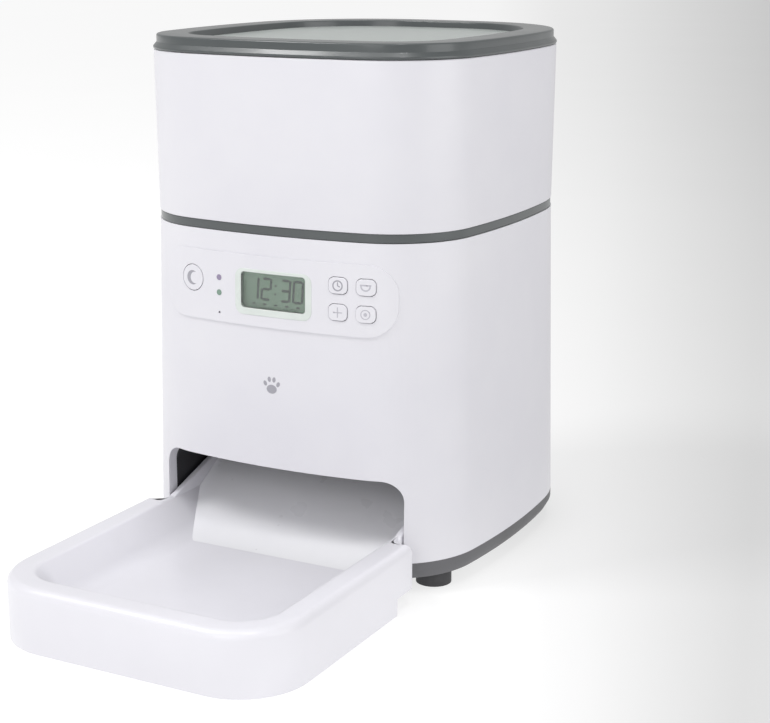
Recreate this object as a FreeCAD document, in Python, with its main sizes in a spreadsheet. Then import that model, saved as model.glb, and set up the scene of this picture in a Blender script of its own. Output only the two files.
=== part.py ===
import FreeCAD, Part
import math
import os
import re
import Sketcher
from FreeCAD import Rotation, Vector

# Automatic pet feeder: a food tank with a lift-off lid stands on a motor base, and the base
# drops portions of dry food through a chute into a tray that slides out of a bay in its front.
# +Z is up, -Y is the front, and lengths are in millimetres. Plan positions are measured from
# the middle of the housing. Every sub-part is then shifted back by one amount, so that the
# origin lies under the middle of the whole feeder with its tray.

dimensions = [
    # the housing's plan: eight arcs, bowed front, sides and back with rounded corners
    ("half_width", 100, "half the housing's width at the seam"),
    ("front_reach", 101, "from the plan's middle to the front at the seam"),
    ("back_reach", 119, "from the plan's middle to the back at the seam"),
    ("front_bow", 370, "radius of the bowed front"),
    ("side_bow", 455, "radius of the bowed sides"),
    ("back_bow", 900, "radius of the nearly flat back"),
    ("front_corner", 50, "radius of the front corners"),
    ("back_corner", 80, "radius of the rear corners"),
    ("flare", 4, "how far the base spreads from the seam to the plinth"),
    ("tank_flare", 1, "how far the tank spreads from the seam to its rim"),
    ("wall", 2.6, "wall of the housing"),
    ("fit_gap", 0.4, "gap between pieces that lift or slide apart"),
    # levels
    ("plinth_low", 9.6, "underside of the bottom cover"),
    ("plinth_curve", 4.4, "height of the plinth's rolled lower edge"),
    ("plinth_roll", 2.5, "how far that edge rolls in"),
    ("plinth_high", 19, "top of the plinth"),
    ("seam_low", 195.3, "top of the base housing"),
    ("seam_high", 200.4, "bottom of the white tank wall"),
    ("tank_high", 290.2, "rim of the tank"),
    ("lid_high", 298.6, "top of the lid"),
    ("deck_drop", 2.7, "depth of the recess that the tank sits in"),
    # feet
    ("foot_radius", 10, "rubber feet"),
    ("foot_front_x", 81, "front feet, from the middle"),
    ("foot_front_y", 63, "front feet, forward"),
    ("foot_back_x", 68, "rear feet, from the middle"),
    ("foot_back_y", 78, "rear feet, backward"),
    ("foot_stud", 3, "radius of the stud that holds a foot"),
    # bay and tray
    ("bay_half", 77, "half width of the bay"),
    ("bay_high", 65.8, "top of the bay's mouth"),
    ("bay_corner", 12, "upper corners of the bay's mouth"),
    ("bay_back", 10, "bay's back wall, forward of the middle"),
    ("jamb", 2.2, "thickness of the white frame round the mouth"),
    ("jamb_back", 84, "rear edge of that frame, forward of the middle"),
    ("liner", 1.8, "thickness of the dark liner"),
    ("tray_half", 87, "half width of the tray"),
    ("tray_reach", 248.5, "tray's front, forward of the middle"),
    ("tray_back", 99, "rear edge of the tray's wide part"),
    ("tray_high", 34.6, "rim of the tray"),
    ("tray_corner", 36.6, "front corners of the tray"),
    ("tray_rear_corner", 6, "rear corners of the tray's wide part"),
    ("tray_edge", 5, "rounding of the rim's outer edge"),
    ("tray_wall", 2.8, "skirt of the tray"),
    ("cheek_front", 94, "front of the tray's raised cheeks, forward of the middle"),
    ("cheek_high", 55, "top of the cheeks and of the ramp between them"),
    ("cheek_corner", 1, "vertical edges of the cheeks"),
    ("ramp_half", 72.2, "half width of the ramp"),
    ("ramp_foot", 100, "where the ramp meets the basin's floor"),
    ("ramp_top", 28, "top of the ramp, forward of the middle"),
    ("rim_width", 15, "width of the tray's rim"),
    ("basin_slope", 15, "how far the basin's walls lean in"),
    ("basin_floor", 16, "floor of the basin"),
    ("basin_back", 30, "rear end of the basin, forward of the middle"),
    ("tongue_half", 76, "half width of the tongue inside the bay"),
    ("tongue_back", 24, "rear end of the tongue"),
    ("tongue_low", 13.2, "underside of the tongue"),
    ("skirt_notch", 118.4, "where the skirt steps up over the base's front lip"),
    ("notch_high", 9.5, "height of that step"),
    ("lip_half", 70, "half width of the front lip under the tray"),
    ("lip_reach", 117.8, "front edge of that lip"),
    ("lip_low", 4, "underside of that lip"),
    ("lip_high", 9.2, "top of that lip"),
    # dispenser
    ("rotor_y", 9, "rotor's axis, backward of the middle"),
    ("cup_radius", 60, "outside of the rotor's cup"),
    ("cup_wall", 2.5, "wall of the cup"),
    ("cup_low", 150, "underside of the cup"),
    ("flange_radius", 68, "flange that hangs the cup under the deck"),
    ("deck_hole", 52, "radius of the hole in the deck"),
    ("neck_radius", 46, "inside of the tank's neck"),
    ("neck_wall", 2.4, "wall of the neck"),
    ("neck_low", 190.6, "lower end of the neck"),
    ("cone_low", 200, "where the neck opens into the funnel"),
    ("cone_run", 80, "how far the funnel spreads"),
    ("cone_rise", 42, "how far it rises over that spread"),
    ("cone_wall", 3, "height of the funnel's wall"),
    ("arm_count", 6, "rotor arms"),
    ("arm_reach", 52, "end of a rotor arm"),
    ("arm_thick", 3, "thickness of a rotor arm"),
    ("wiper_reach", 57, "end of a silicone wiper"),
    ("hub_radius", 11, "rotor hub"),
    ("rotor_low", 153.6, "underside of the rotor"),
    ("rotor_high", 185, "top of the rotor"),
    ("shaft_radius", 4, "rotor shaft"),
    ("shaft_low", 128.4, "lower end of the shaft"),
    ("running_gap", 0.06, "clearance of a turning fit"),
    ("bush_radius", 7, "outside of the bush"),
    ("bush_low", 147.5, "lower end of the bush"),
    ("bush_high", 153.2, "upper end of the bush"),
    ("guard_low", 186.2, "underside of the strike-off guard"),
    ("guard_thick", 1.6, "thickness of that guard"),
    ("outlet_half", 20, "half width of the outlet"),
    ("outlet_front", 45, "front edge of the outlet, forward of the middle"),
    ("outlet_back", 17, "rear edge of the outlet"),
    ("chute_wall", 2, "wall of the chute"),
    ("chute_shift", 25, "how far the chute leads forward"),
    # drive
    ("module_size", 1, "module of the gears"),
    ("gear_teeth", 40, "teeth of the drive gear"),
    ("pinion_teeth", 12, "teeth of the motor pinion"),
    ("gear_low", 134, "underside of the gears"),
    ("gear_thick", 7, "thickness of the gears"),
    ("plate_half", 30, "half width of the gear plate"),
    ("plate_front", 13, "front edge of the gear plate"),
    ("plate_back", 62, "rear edge of the gear plate"),
    ("plate_low", 128, "underside of the gear plate"),
    ("plate_thick", 3, "thickness of the gear plate"),
    ("post_radius", 3.5, "posts between gear plate and cup"),
    ("post_x", 26, "posts, from the middle"),
    ("post_front", 8, "front posts, forward"),
    ("post_back", 57, "rear posts, backward"),
    ("gearbox_radius", 18.5, "gearbox of the motor"),
    ("gearbox_height", 24, "height of the gearbox"),
    ("motor_radius", 13.8, "motor can"),
    ("motor_height", 38, "height of the motor can"),
    ("output_radius", 3, "motor's output shaft"),
    # control panel
    ("panel_half", 73.4, "half width of the control panel"),
    ("panel_low", 145, "lower edge of the panel"),
    ("panel_high", 184, "upper edge of the panel"),
    ("panel_corner", 16, "corners of the panel"),
    ("panel_proud", 0.7, "how far the panel stands out"),
    ("panel_depth", 1.2, "how deep it is let into the housing"),
    ("display_left", -22, "display frame, left"),
    ("display_right", 26, "display frame, right"),
    ("display_low", 151, "display frame, bottom"),
    ("display_high", 176.4, "display frame, top"),
    ("display_corner", 5, "display frame, corners"),
    ("display_proud", 0.9, "how far the frame stands out"),
    ("display_depth", 2.2, "thickness of the frame behind the surface"),
    ("window_margin", 3.8, "width of the frame round the window"),
    ("window_corner", 2, "corners of the window"),
    ("lens_proud", 0.3, "how far the lens stands out"),
    ("lens_depth", 1.5, "thickness of the lens behind the surface"),
    ("lcd_front", 99.1, "front of the display glass, forward of the middle"),
    ("lcd_thick", 2.8, "thickness of the display glass"),
    ("key_wide", 10.6, "width of a key"),
    ("key_tall", 8.8, "height of a key"),
    ("key_corner", 3, "corners of a key"),
    ("key_proud", 1.3, "how far a key stands out"),
    ("key_back", 92.7, "rear face of the keys, forward of the middle"),
    ("key_left", 41.5, "left column of keys"),
    ("key_right", 57.2, "right column of keys"),
    ("key_upper", 172, "upper row of keys"),
    ("key_lower", 157.5, "lower row of keys"),
    ("key_gap", 0.35, "gap round a key"),
    ("feed_x", -51.6, "feed button, sideways"),
    ("feed_z", 167.5, "feed button, height"),
    ("feed_radius", 7.2, "feed button"),
    ("feed_proud", 1, "how far the feed button stands out"),
    ("lamp_x", -33, "indicator lamps, sideways"),
    ("lamp_upper", 169.6, "upper lamp"),
    ("lamp_lower", 161.2, "lower lamp"),
    ("lamp_radius", 1.6, "lamp lenses"),
    ("lamp_back", 94, "rear end of the lamp lenses"),
    ("microphone_z", 150, "microphone hole"),
    ("microphone_radius", 3, "microphone capsule"),
    ("pinhole", 0.7, "radius of the microphone hole"),
    # boards
    ("board_thick", 1.6, "circuit boards"),
    ("board_front", 88.4, "front of the control board, forward of the middle"),
    ("board_half", 66, "half width of the control board"),
    ("board_low", 146, "lower edge of the control board"),
    ("board_high", 184, "upper edge of the control board"),
    ("switch_side", 6, "key switches"),
    ("switch_gap", 1, "gap between a key and its switch"),
    ("main_y", 104, "front of the main board, backward"),
    ("main_half", 40, "half width of the main board"),
    ("main_low", 76, "lower edge of the main board"),
    ("main_high", 132, "upper edge of the main board"),
    ("boss_radius", 3, "screw bosses for the boards"),
    ("board_screw", 1.2, "radius of a board screw"),
    # rear wall
    ("speaker_z", 160, "speaker, height"),
    ("speaker_radius", 18, "speaker"),
    ("speaker_back", 115, "rear face of the speaker"),
    ("speaker_depth", 9, "depth of the speaker"),
    ("grille_hole", 1.2, "radius of a speaker hole"),
    ("grille_pitch", 5, "spacing of the speaker holes"),
    ("jack_z", 64, "power inlet, height"),
    ("jack_radius", 4, "barrel of the power inlet"),
    ("jack_bore", 2.8, "bore of the power inlet"),
    ("jack_pin", 1, "centre pin of the power inlet"),
    ("jack_front", 106, "front of the power inlet, backward"),
    ("jack_length", 15.2, "length of the power inlet"),
    ("jack_depth", 9, "depth of its bore"),
    # batteries
    ("cell_radius", 17.1, "D cell"),
    ("cell_length", 61.5, "D cell"),
    ("cell_pitch", 35.4, "spacing of the cells"),
    ("cell_front", 31, "front end of the cells, backward"),
    ("cell_low", 13.6, "underside of the cells"),
    ("box_half", 55, "half width of the battery box"),
    ("box_front", 24, "front of the battery box"),
    ("box_back", 99, "back of the battery box"),
    ("box_high", 51.5, "top of the battery box"),
    ("box_wall", 1.8, "wall of the battery box"),
    ("contact_thick", 0.6, "battery contacts"),
    ("door_gap", 0.4, "gap round the battery door"),
    ("door_thick", 2.2, "thickness of the battery door"),
    # lid
    ("lid_out", 1.2, "how far the lid overhangs the seam outline"),
    ("lid_gap", 0.3, "gap between lid and tank"),
    ("window_inset", 19.5, "from the lid's outline to its window"),
    ("ledge", 4, "ledge that carries the window"),
    ("lid_window_low", 293.2, "underside of the window"),
    ("lid_window_thick", 1.8, "thickness of the window"),
    ("skirt_inset", 3.6, "from the outline to the lid's plug skirt"),
    ("skirt_thick", 2.4, "thickness of the plug skirt"),
    ("skirt_low", 281, "lower edge of the plug skirt"),
    ("gasket_inset", 1.9, "outer face of the gasket"),
    ("gasket_low", 284, "lower edge of the gasket"),
    ("gasket_height", 4, "height of the gasket"),
    ("pot_half", 27, "half width of the desiccant box"),
    ("pot_front", 88, "front of the desiccant box, backward"),
    ("pot_back", 107, "back of the desiccant box"),
    ("pot_low", 273, "lower edge of the desiccant box"),
    ("pot_wall", 1.5, "wall of the desiccant box"),
    # screws
    ("screw_radius", 1.5, "screw shanks"),
    ("screw_head", 2.8, "radius of a screw head"),
    ("head_height", 1.8, "height of a screw head"),
    ("side_boss_x", 97, "screw bosses at the sides"),
    ("side_boss_y", 32, "the same, forward and backward"),
    ("rear_boss_x", 30, "screw bosses at the back"),
    ("rear_boss_y", 115.8, "the same, backward"),
    ("side_boss", 3.6, "radius of those bosses"),
    ("boss_high", 42, "top of those bosses"),
    ("screw_top", 34, "end of the long screws"),
]

doc = FreeCAD.newDocument("pet_feeder")
dims = doc.addObject("Spreadsheet::Sheet", "dims")
for row, (alias, size, note) in enumerate(dimensions, start=1):
    dims.set(f"A{row}", alias)
    dims.set(f"B{row}", str(size))
    dims.setAlias(f"B{row}", alias)
    dims.set(f"C{row}", note)
doc.recompute()

subParts = []


def formula(text):
    """A size written with the sheet's aliases, as an expression."""
    return re.sub(r"[a-z]\w*", lambda word: "dims." + word.group(), str(text))


def number(text):
    return float(dims.evalExpression(formula(text)))


def bind(item, name, text):
    item.setExpression(name, formula(text))


def subPart(item, label):
    """Name a finished piece and shift it back, so that the origin is under the whole feeder."""
    item.Label = label
    place = dict(item.ExpressionEngine).get(".Placement.Base.y", "0")
    shift = formula("(tray_reach - back_reach - flare) / 2")
    item.setExpression("Placement.Base.y", f"{place} + {shift}")
    subParts.append(item)


# ---- sketches and simple solids

def newSketch(body, name, plane, offset):
    sketch = body.newObject("Sketcher::SketchObject", name)
    support = [part for part in body.Origin.OriginFeatures if part.Role == plane][0]
    sketch.AttachmentSupport = [(support, "")]
    sketch.MapMode = "FlatFace"
    bind(sketch, "AttachmentOffset.Base.z", offset)
    return sketch


def limit(sketch, kind, *items):
    """Add a dimension to a sketch and bind it to the sheet; the last item is its formula."""
    index = sketch.addConstraint(Sketcher.Constraint(kind, *items[:-1], number(items[-1])))
    bind(sketch, f"Constraints[{index}]", items[-1])


def rectangle(sketch, left, right, low, high, corner):
    """A rounded rectangle: four lines, with four arcs between them."""
    x0, x1, y0, y1, r = [number(text) for text in (left, right, low, high, corner)]
    lines = [
        (Vector(x0 + r, y0, 0), Vector(x1 - r, y0, 0)),
        (Vector(x1, y0 + r, 0), Vector(x1, y1 - r, 0)),
        (Vector(x1 - r, y1, 0), Vector(x0 + r, y1, 0)),
        (Vector(x0, y1 - r, 0), Vector(x0, y0 + r, 0)),
    ]
    centres = [(x1 - r, y0 + r), (x1 - r, y1 - r), (x0 + r, y1 - r), (x0 + r, y0 + r)]
    sides = []
    arcs = []
    for turn, (ends, centre) in enumerate(zip(lines, centres)):
        sides.append(sketch.addGeometry(Part.LineSegment(*ends), False))
        circle = Part.Circle(Vector(*centre, 0), Vector(0, 0, 1), r)
        start = (turn - 1) * math.pi / 2
        arcs.append(sketch.addGeometry(Part.ArcOfCircle(circle, start, start + math.pi / 2), False))
    for turn in range(4):
        following = sides[(turn + 1) % 4]
        sketch.addConstraint(Sketcher.Constraint("Tangent", sides[turn], 2, arcs[turn], 1))
        sketch.addConstraint(Sketcher.Constraint("Tangent", arcs[turn], 2, following, 1))
        kind = "Vertical" if turn % 2 else "Horizontal"
        sketch.addConstraint(Sketcher.Constraint(kind, sides[turn]))
    for arc in arcs[1:]:
        sketch.addConstraint(Sketcher.Constraint("Equal", arcs[0], arc))
    limit(sketch, "Radius", arcs[0], corner)
    limit(sketch, "DistanceY", -1, 1, sides[0], 1, low)
    limit(sketch, "DistanceX", -1, 1, sides[1], 1, right)
    limit(sketch, "DistanceY", -1, 1, sides[2], 1, high)
    limit(sketch, "DistanceX", -1, 1, sides[3], 1, left)


def meeting(first, firstRadius, second, secondRadius, side):
    """Where two circles cross, on the given side of the line between their centres."""
    between = second - first
    along = (firstRadius ** 2 - secondRadius ** 2 + between.Length ** 2) / (2 * between.Length)
    across = math.sqrt(firstRadius ** 2 - along ** 2)
    unit = between / between.Length
    return first + unit * along + Vector(-unit.y, unit.x, 0) * across * side


def outline(sketch, inset):
    """The housing's plan, moved in by inset: all eight arcs keep their centres."""
    bows = [
        (Vector(0, number("front_bow - front_reach"), 0), "front_bow"),
        (Vector(number("half_width - side_bow"), 0, 0), "side_bow"),
        (Vector(0, number("back_reach - back_bow"), 0), "back_bow"),
        (Vector(number("side_bow - half_width"), 0, 0), "side_bow"),
    ]
    corners = ["front_corner", "back_corner", "back_corner", "front_corner"]
    joints = []
    for turn, corner in enumerate(corners):
        near, nearBow = bows[turn]
        far, farBow = bows[(turn + 1) % 4]
        gaps = [number(f"{bow} - {corner}") for bow in (nearBow, farBow)]
        joints.append(meeting(near, gaps[0], far, gaps[1], 1))
    arcs = []
    for turn, (centre, bow) in enumerate(bows):
        before = joints[turn - 1] - centre
        after = joints[turn] - centre
        corner = corners[turn]
        for middle, radius, start, end in (
            (centre, f"{bow} - ({inset})", before, after),
            (joints[turn], f"{corner} - ({inset})", after, joints[turn] - bows[(turn + 1) % 4][0]),
        ):
            circle = Part.Circle(middle, Vector(0, 0, 1), number(radius))
            angles = [math.atan2(way.y, way.x) for way in (start, end)]
            arcs.append(sketch.addGeometry(Part.ArcOfCircle(circle, *angles), False))
            limit(sketch, "Radius", arcs[-1], radius)
    for index, arc in enumerate(arcs):
        following = arcs[(index + 1) % 8]
        sketch.addConstraint(Sketcher.Constraint("Tangent", arc, 2, following, 1))
    front, right, back, left = arcs[0::2]
    for arc, x, y in (
        (front, "0", "front_bow - front_reach"),
        (right, "half_width - side_bow", "0"),
        (back, "0", "back_reach - back_bow"),
        (left, "side_bow - half_width", "0"),
    ):
        limit(sketch, "DistanceX", -1, 1, arc, 3, x)
        limit(sketch, "DistanceY", -1, 1, arc, 3, y)


def loft(name, draw, sections):
    """A body through sections, each a height and what draw needs for its sketch."""
    body = doc.addObject("PartDesign::Body", name)
    sketches = []
    for index, (height, *shape) in enumerate(sections):
        sketch = newSketch(body, f"{name}_section_{index}", "XY_Plane", height)
        draw(sketch, *shape)
        sketches.append(sketch)
    feature = body.newObject("PartDesign::AdditiveLoft", f"{name}_loft")
    feature.Profile = sketches[0]
    feature.Sections = sketches[1:]
    feature.Ruled = True
    return body


def plan(name, *sections):
    return loft(name, outline, sections)


def prism(name, plane, start, length, draw, *shape):
    """A body padded from a sketch: up from an XY_Plane, or forward from an XZ_Plane."""
    body = doc.addObject("PartDesign::Body", name)
    sketch = newSketch(body, f"{name}_sketch", plane, start)
    draw(sketch, *shape)
    pad = body.newObject("PartDesign::Pad", f"{name}_pad")
    pad.Profile = sketch
    bind(pad, "Length", length)
    return body


def forward(name, back, length, left, right, low, high, corner):
    """A rounded block that runs forward from a plane `back` millimetres in front of the middle."""
    return prism(name, "XZ_Plane", back, length, rectangle, left, right, low, high, corner)


def block(name, left, right, front, back, low, high):
    box = doc.addObject("Part::Box", name)
    for side, start, end, axis in (
        ("Length", left, right, "x"), ("Width", front, back, "y"), ("Height", low, high, "z"),
    ):
        bind(box, side, f"({end}) - ({start})")
        bind(box, f"Placement.Base.{axis}", start)
    return box


def rod(name, x, y, z, radius, length, way="z"):
    """A cylinder that starts at a point and runs along +X, +Y or +Z."""
    turns = {"x": Rotation(Vector(0, 1, 0), 90), "y": Rotation(Vector(1, 0, 0), -90), "z": Rotation()}
    cylinder = doc.addObject("Part::Cylinder", name)
    cylinder.Placement.Rotation = turns[way]
    bind(cylinder, "Radius", radius)
    bind(cylinder, "Height", length)
    for axis, place in (("x", x), ("y", y), ("z", z)):
        bind(cylinder, f"Placement.Base.{axis}", place)
    return cylinder


def join(name, *items):
    fused = doc.addObject("Part::MultiFuse", name)
    fused.Shapes = list(items)
    return fused


def cut(name, base, *tools):
    """Cut one tool, or several joined, out of a base."""
    result = doc.addObject("Part::Cut", name)
    result.Base = base
    result.Tool = tools[0] if len(tools) == 1 else join(f"{name}_tools", *tools)
    return result


def common(name, first, second):
    result = doc.addObject("Part::Common", name)
    result.Base = first
    result.Tool = second
    return result


def group(name, items):
    """Separate identical solids that share one node."""
    result = doc.addObject("Part::Compound", name)
    result.Links = list(items)
    return result


def screw(name, x, y, z, head, shank, way, sign):
    """A pan-head screw whose head starts at a point; its shank runs on along sign times way."""
    step = {"x": 0, "y": 0, "z": 0}
    start = {"x": x, "y": y, "z": z}
    step[way] = 1
    if sign < 0:
        start = {axis: f"({place}) - ({head[1]}) * {step[axis]}" for axis, place in start.items()}
    cap = rod(f"{name}_head", start["x"], start["y"], start["z"], head[0], head[1], way)
    if sign > 0:
        start = {axis: f"({place}) + ({head[1]}) * {step[axis]}" for axis, place in start.items()}
    else:
        start = {axis: f"({place}) - ({shank[1]}) * {step[axis]}" for axis, place in start.items()}
    stem = rod(f"{name}_shank", start["x"], start["y"], start["z"], shank[0], shank[1], way)
    return join(name, cap, stem)


# The base's surface at a height, moved out by `proud` from the flared wall: two sections.
def flared(name, proud):
    return plan(
        name,
        ("plinth_high", f"-flare - ({proud})"),
        ("seam_low", f"-({proud})"),
    )


# ---- base

def baseHousing(panelBlock, displayHole, keyHoles):
    """White wall, deck and the frame of the bay's mouth, with every hole through them."""
    outer = flared("housing_outer", "0")
    deckLow = "seam_low - deck_drop - wall"
    hollow = plan(
        "housing_hollow",
        ("plinth_high - 1", "wall - flare * (seam_low - plinth_high + 1) / (seam_low - plinth_high)"),
        (deckLow, "wall - flare * (deck_drop + wall) / (seam_low - plinth_high)"),
    )
    recess = plan(
        "deck_recess",
        ("seam_low - deck_drop", "wall"),
        ("seam_low + 1", "wall"),
    )
    shell = cut("housing_shell", outer, join("housing_hollows", hollow, recess))
    frameBlock = forward(
        "mouth_block", "jamb_back", "front_reach + flare - jamb_back + 1",
        "-bay_half - jamb", "bay_half + jamb", "-bay_high", "bay_high + jamb", "bay_corner + jamb",
    )
    frame = common("mouth_frame", frameBlock, outer)
    bosses = []
    for side in (-1, 1):
        for y in ("-side_boss_y", "side_boss_y"):
            bosses.append(rod(f"side_boss_{len(bosses)}", f"side_boss_x * {side}", y, "plinth_high",
                              "side_boss", "boss_high - plinth_high"))
        bosses.append(rod(f"rear_boss_{side + 1}", f"rear_boss_x * {side}", "rear_boss_y", "plinth_high",
                          "side_boss", "boss_high - plinth_high"))
        for height in ("board_low + 3", "board_high - 3"):
            bosses.append(rod(f"board_boss_{len(bosses)}", f"(board_half - 4) * {side}", "-board_front - 6",
                              height, "boss_radius", "6", "y"))
        for height in ("main_low + 4", "main_high - 4"):
            bosses.append(rod(f"main_boss_{len(bosses)}", f"(main_half - 4) * {side}",
                              "main_y + board_thick", height, "boss_radius", "11.5", "y"))
    solid = join("housing_solid", shell, frame, *bosses)
    mouth = forward("mouth", "jamb_back - 1", "front_reach + flare - jamb_back + 2",
                    "-bay_half", "bay_half", "-bay_high", "bay_high", "bay_corner")
    holes = [
        mouth,
        rod("deck_bore", "0", "rotor_y", f"{deckLow} - 1", "deck_hole", "wall + 2"),
        rod("jack_hole", "0", "jack_front", "jack_z", "jack_radius + 0.1", "jack_length + 8", "y"),
        panelBlock, displayHole,
    ] + keyHoles
    pitch = "grille_pitch"
    for ring, count in ((0, 1), (1, 6), (2, 12)):
        for index in range(count):
            angle = 2 * math.pi * index / count
            x = f"{pitch} * {ring * math.cos(angle):.4f}"
            z = f"speaker_z + {pitch} * {ring * math.sin(angle):.4f}"
            holes.append(rod(f"grille_{ring}_{index}", x, "speaker_back", z, "grille_hole", "12", "y"))
    for x, y in bottomScrewPlaces():
        holes.append(rod(f"screw_hole_{len(holes)}", x, y, "plinth_high - 1", "screw_radius + 0.05",
                         "screw_top - plinth_high + 2"))
    for x, z in boardScrewPlaces():
        holes.append(rod(f"board_hole_{len(holes)}", x, "-board_front - 4.5", z, "board_screw + 0.05", "6",
                         "y"))
    for x, z in mainScrewPlaces():
        holes.append(rod(f"main_hole_{len(holes)}", x, "main_y", z, "board_screw + 0.05", "8", "y"))
    subPart(cut("housing", solid, *holes), "base_housing")


def bottomScrewPlaces():
    places = []
    for side in (-1, 1):
        places.append((f"side_boss_x * {side}", "-side_boss_y"))
        places.append((f"side_boss_x * {side}", "side_boss_y"))
        places.append((f"rear_boss_x * {side}", "rear_boss_y"))
    return places


def boardScrewPlaces():
    return [(f"(board_half - 4) * {side}", height) for side in (-1, 1)
            for height in ("board_low + 3", "board_high - 3")]


def mainScrewPlaces():
    return [(f"(main_half - 4) * {side}", height) for side in (-1, 1)
            for height in ("main_low + 4", "main_high - 4")]


def footPlaces():
    return {
        "foot_front_left": ("-foot_front_x", "-foot_front_y"),
        "foot_front_right": ("foot_front_x", "-foot_front_y"),
        "foot_back_left": ("-foot_back_x", "foot_back_y"),
        "foot_back_right": ("foot_back_x", "foot_back_y"),
    }


def bottomCover():
    """Grey plinth ring and floor in one piece, with a lip in front that carries the tray."""
    dish = plan(
        "plinth_solid",
        ("plinth_low", "plinth_roll - flare"),
        ("plinth_low + plinth_curve", "-flare"),
        ("plinth_high", "-flare"),
    )
    hollow = plan(
        "plinth_hollow",
        ("plinth_low + wall", "wall - flare + 0.6"),
        ("plinth_low + wall + plinth_curve", "wall - flare"),
        ("plinth_high + 1", "wall - flare"),
    )
    doorway = block("plinth_front", "-bay_half", "bay_half", "-front_reach - flare - 2", "-jamb_back + 3",
                    "plinth_low + wall", "plinth_high + 1")
    lip = block("front_lip", "-lip_half", "lip_half", "-lip_reach", "-jamb_back", "lip_low", "lip_high")
    riser = block("lip_riser", "-lip_half", "lip_half", "4 - front_reach", "-jamb_back", "lip_low",
                  "plinth_low + wall / 2")
    holes = [
        hollow, doorway,
        block("battery_hole", "-box_half - 1", "box_half + 1", "box_front - 2", "box_back + 1",
              "plinth_low - 1", "plinth_low + wall + 1"),
    ]
    for x, y in bottomScrewPlaces():
        holes.append(rod(f"cover_hole_{len(holes)}", x, y, "plinth_low - 1", "screw_radius + 0.15",
                         "plinth_high"))
        holes.append(rod(f"cover_sink_{len(holes)}", x, y, "plinth_low - 1", "screw_head + 0.2",
                         "head_height + 1.1"))
    for name, (x, y) in footPlaces().items():
        holes.append(rod(f"{name}_socket", x, y, "plinth_low - 1", "foot_stud", "wall + 2"))
    subPart(cut("bottom", join("bottom_solid", dish, lip, riser), *holes), "bottom_cover")


def feet():
    """Rubber feet: a pad with a stud through the bottom cover."""
    for name, (x, y) in footPlaces().items():
        pad = rod(f"{name}_pad", x, y, "0", "foot_radius", "plinth_low")
        round_ = doc.addObject("Part::Chamfer", f"{name}_edge")
        doc.recompute()
        round_.Base = pad
        round_.Edges = [(3, 1.2, 1.2)]
        stud = rod(f"{name}_stud", x, y, "plinth_low - 1", "foot_stud", "wall + 1.6")
        subPart(join(name, round_, stud), name)


def bayLiner():
    """Dark liner behind the mouth: two sides, ceiling and back, open below and in front."""
    body = forward("liner_block", "bay_back - liner", "jamb_back - bay_back + liner - 0.4",
                   "-bay_half - liner", "bay_half + liner", "-bay_high", "bay_high + liner",
                   "bay_corner + liner")
    room = forward("liner_room", "bay_back", "jamb_back", "-bay_half", "bay_half", "-bay_high - 1",
                   "bay_high",
                   "bay_corner")
    below = block("liner_below", "-half_width", "half_width", "-front_reach", "0", "-bay_high - 1",
                  "plinth_low + wall + 0.1")
    chuteHole = block("liner_hole", "-outlet_half - chute_wall - 0.2", "outlet_half + chute_wall + 0.2",
                      "-outlet_front - chute_wall - chute_shift - 0.3",
                      "-outlet_back + chute_wall - chute_shift + 1.5", "bay_high - 2", "bay_high + liner + 1")
    subPart(cut("liner_shell", body, room, below, chuteHole), "bay_liner")


def foodChute():
    """Slanted duct from the cup's outlet to the bay's ceiling."""
    def section(grow, shift):
        return (f"-outlet_half - {grow}", f"outlet_half + {grow}", f"-outlet_front - {shift} - {grow}",
                f"-outlet_back - {shift} + {grow}", "3")
    low = "bay_high + 0.2"
    outer = loft("chute_outer", rectangle, [(low, *section("chute_wall", "chute_shift")),
                                            ("cup_low", *section("chute_wall", "0"))])
    inner = loft("chute_inner", rectangle, [(f"{low} - 1", *section("0", "chute_shift")),
                                            ("cup_low + 1", *section("0", "0"))])
    subPart(cut("chute", outer, inner), "food_chute")


# ---- dispenser

def rotorCup():
    """Cup that the rotor sweeps: floor with an outlet in front, flange under the deck."""
    flangeTop = "seam_low - deck_drop - wall"
    solid = join(
        "cup_solid",
        rod("cup_wall_solid", "0", "rotor_y", "cup_low", "cup_radius", f"{flangeTop} - cup_low"),
        rod("cup_flange", "0", "rotor_y", f"{flangeTop} - wall", "flange_radius", "wall"),
    )
    outletHole = block("cup_outlet", "-outlet_half", "outlet_half", "-outlet_front", "-outlet_back",
                       "cup_low - 1", "cup_low + cup_wall + 1")
    holes = [
        rod("cup_room", "0", "rotor_y", "cup_low + cup_wall", "cup_radius - cup_wall", "seam_low - cup_low"),
        rod("cup_bore", "0", "rotor_y", "cup_low - 1", "bush_radius", "cup_wall + 2"),
        outletHole,
    ]
    for x, y in postPlaces():
        holes.append(rod(f"cup_screw_{len(holes)}", x, y, "cup_low - 1", "screw_radius", "2.6"))
    subPart(cut("cup", solid, *holes), "rotor_cup")
    guard = common(
        "guard_plate",
        block("guard_block", "-outlet_half - 5", "outlet_half + 5", "-cup_radius + rotor_y",
              "-outlet_back + 5",
              "guard_low", "guard_low + guard_thick"),
        rod("guard_round", "0", "rotor_y", "guard_low", "cup_radius - cup_wall", "guard_thick"),
    )
    subPart(guard, "outlet_guard")


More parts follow.
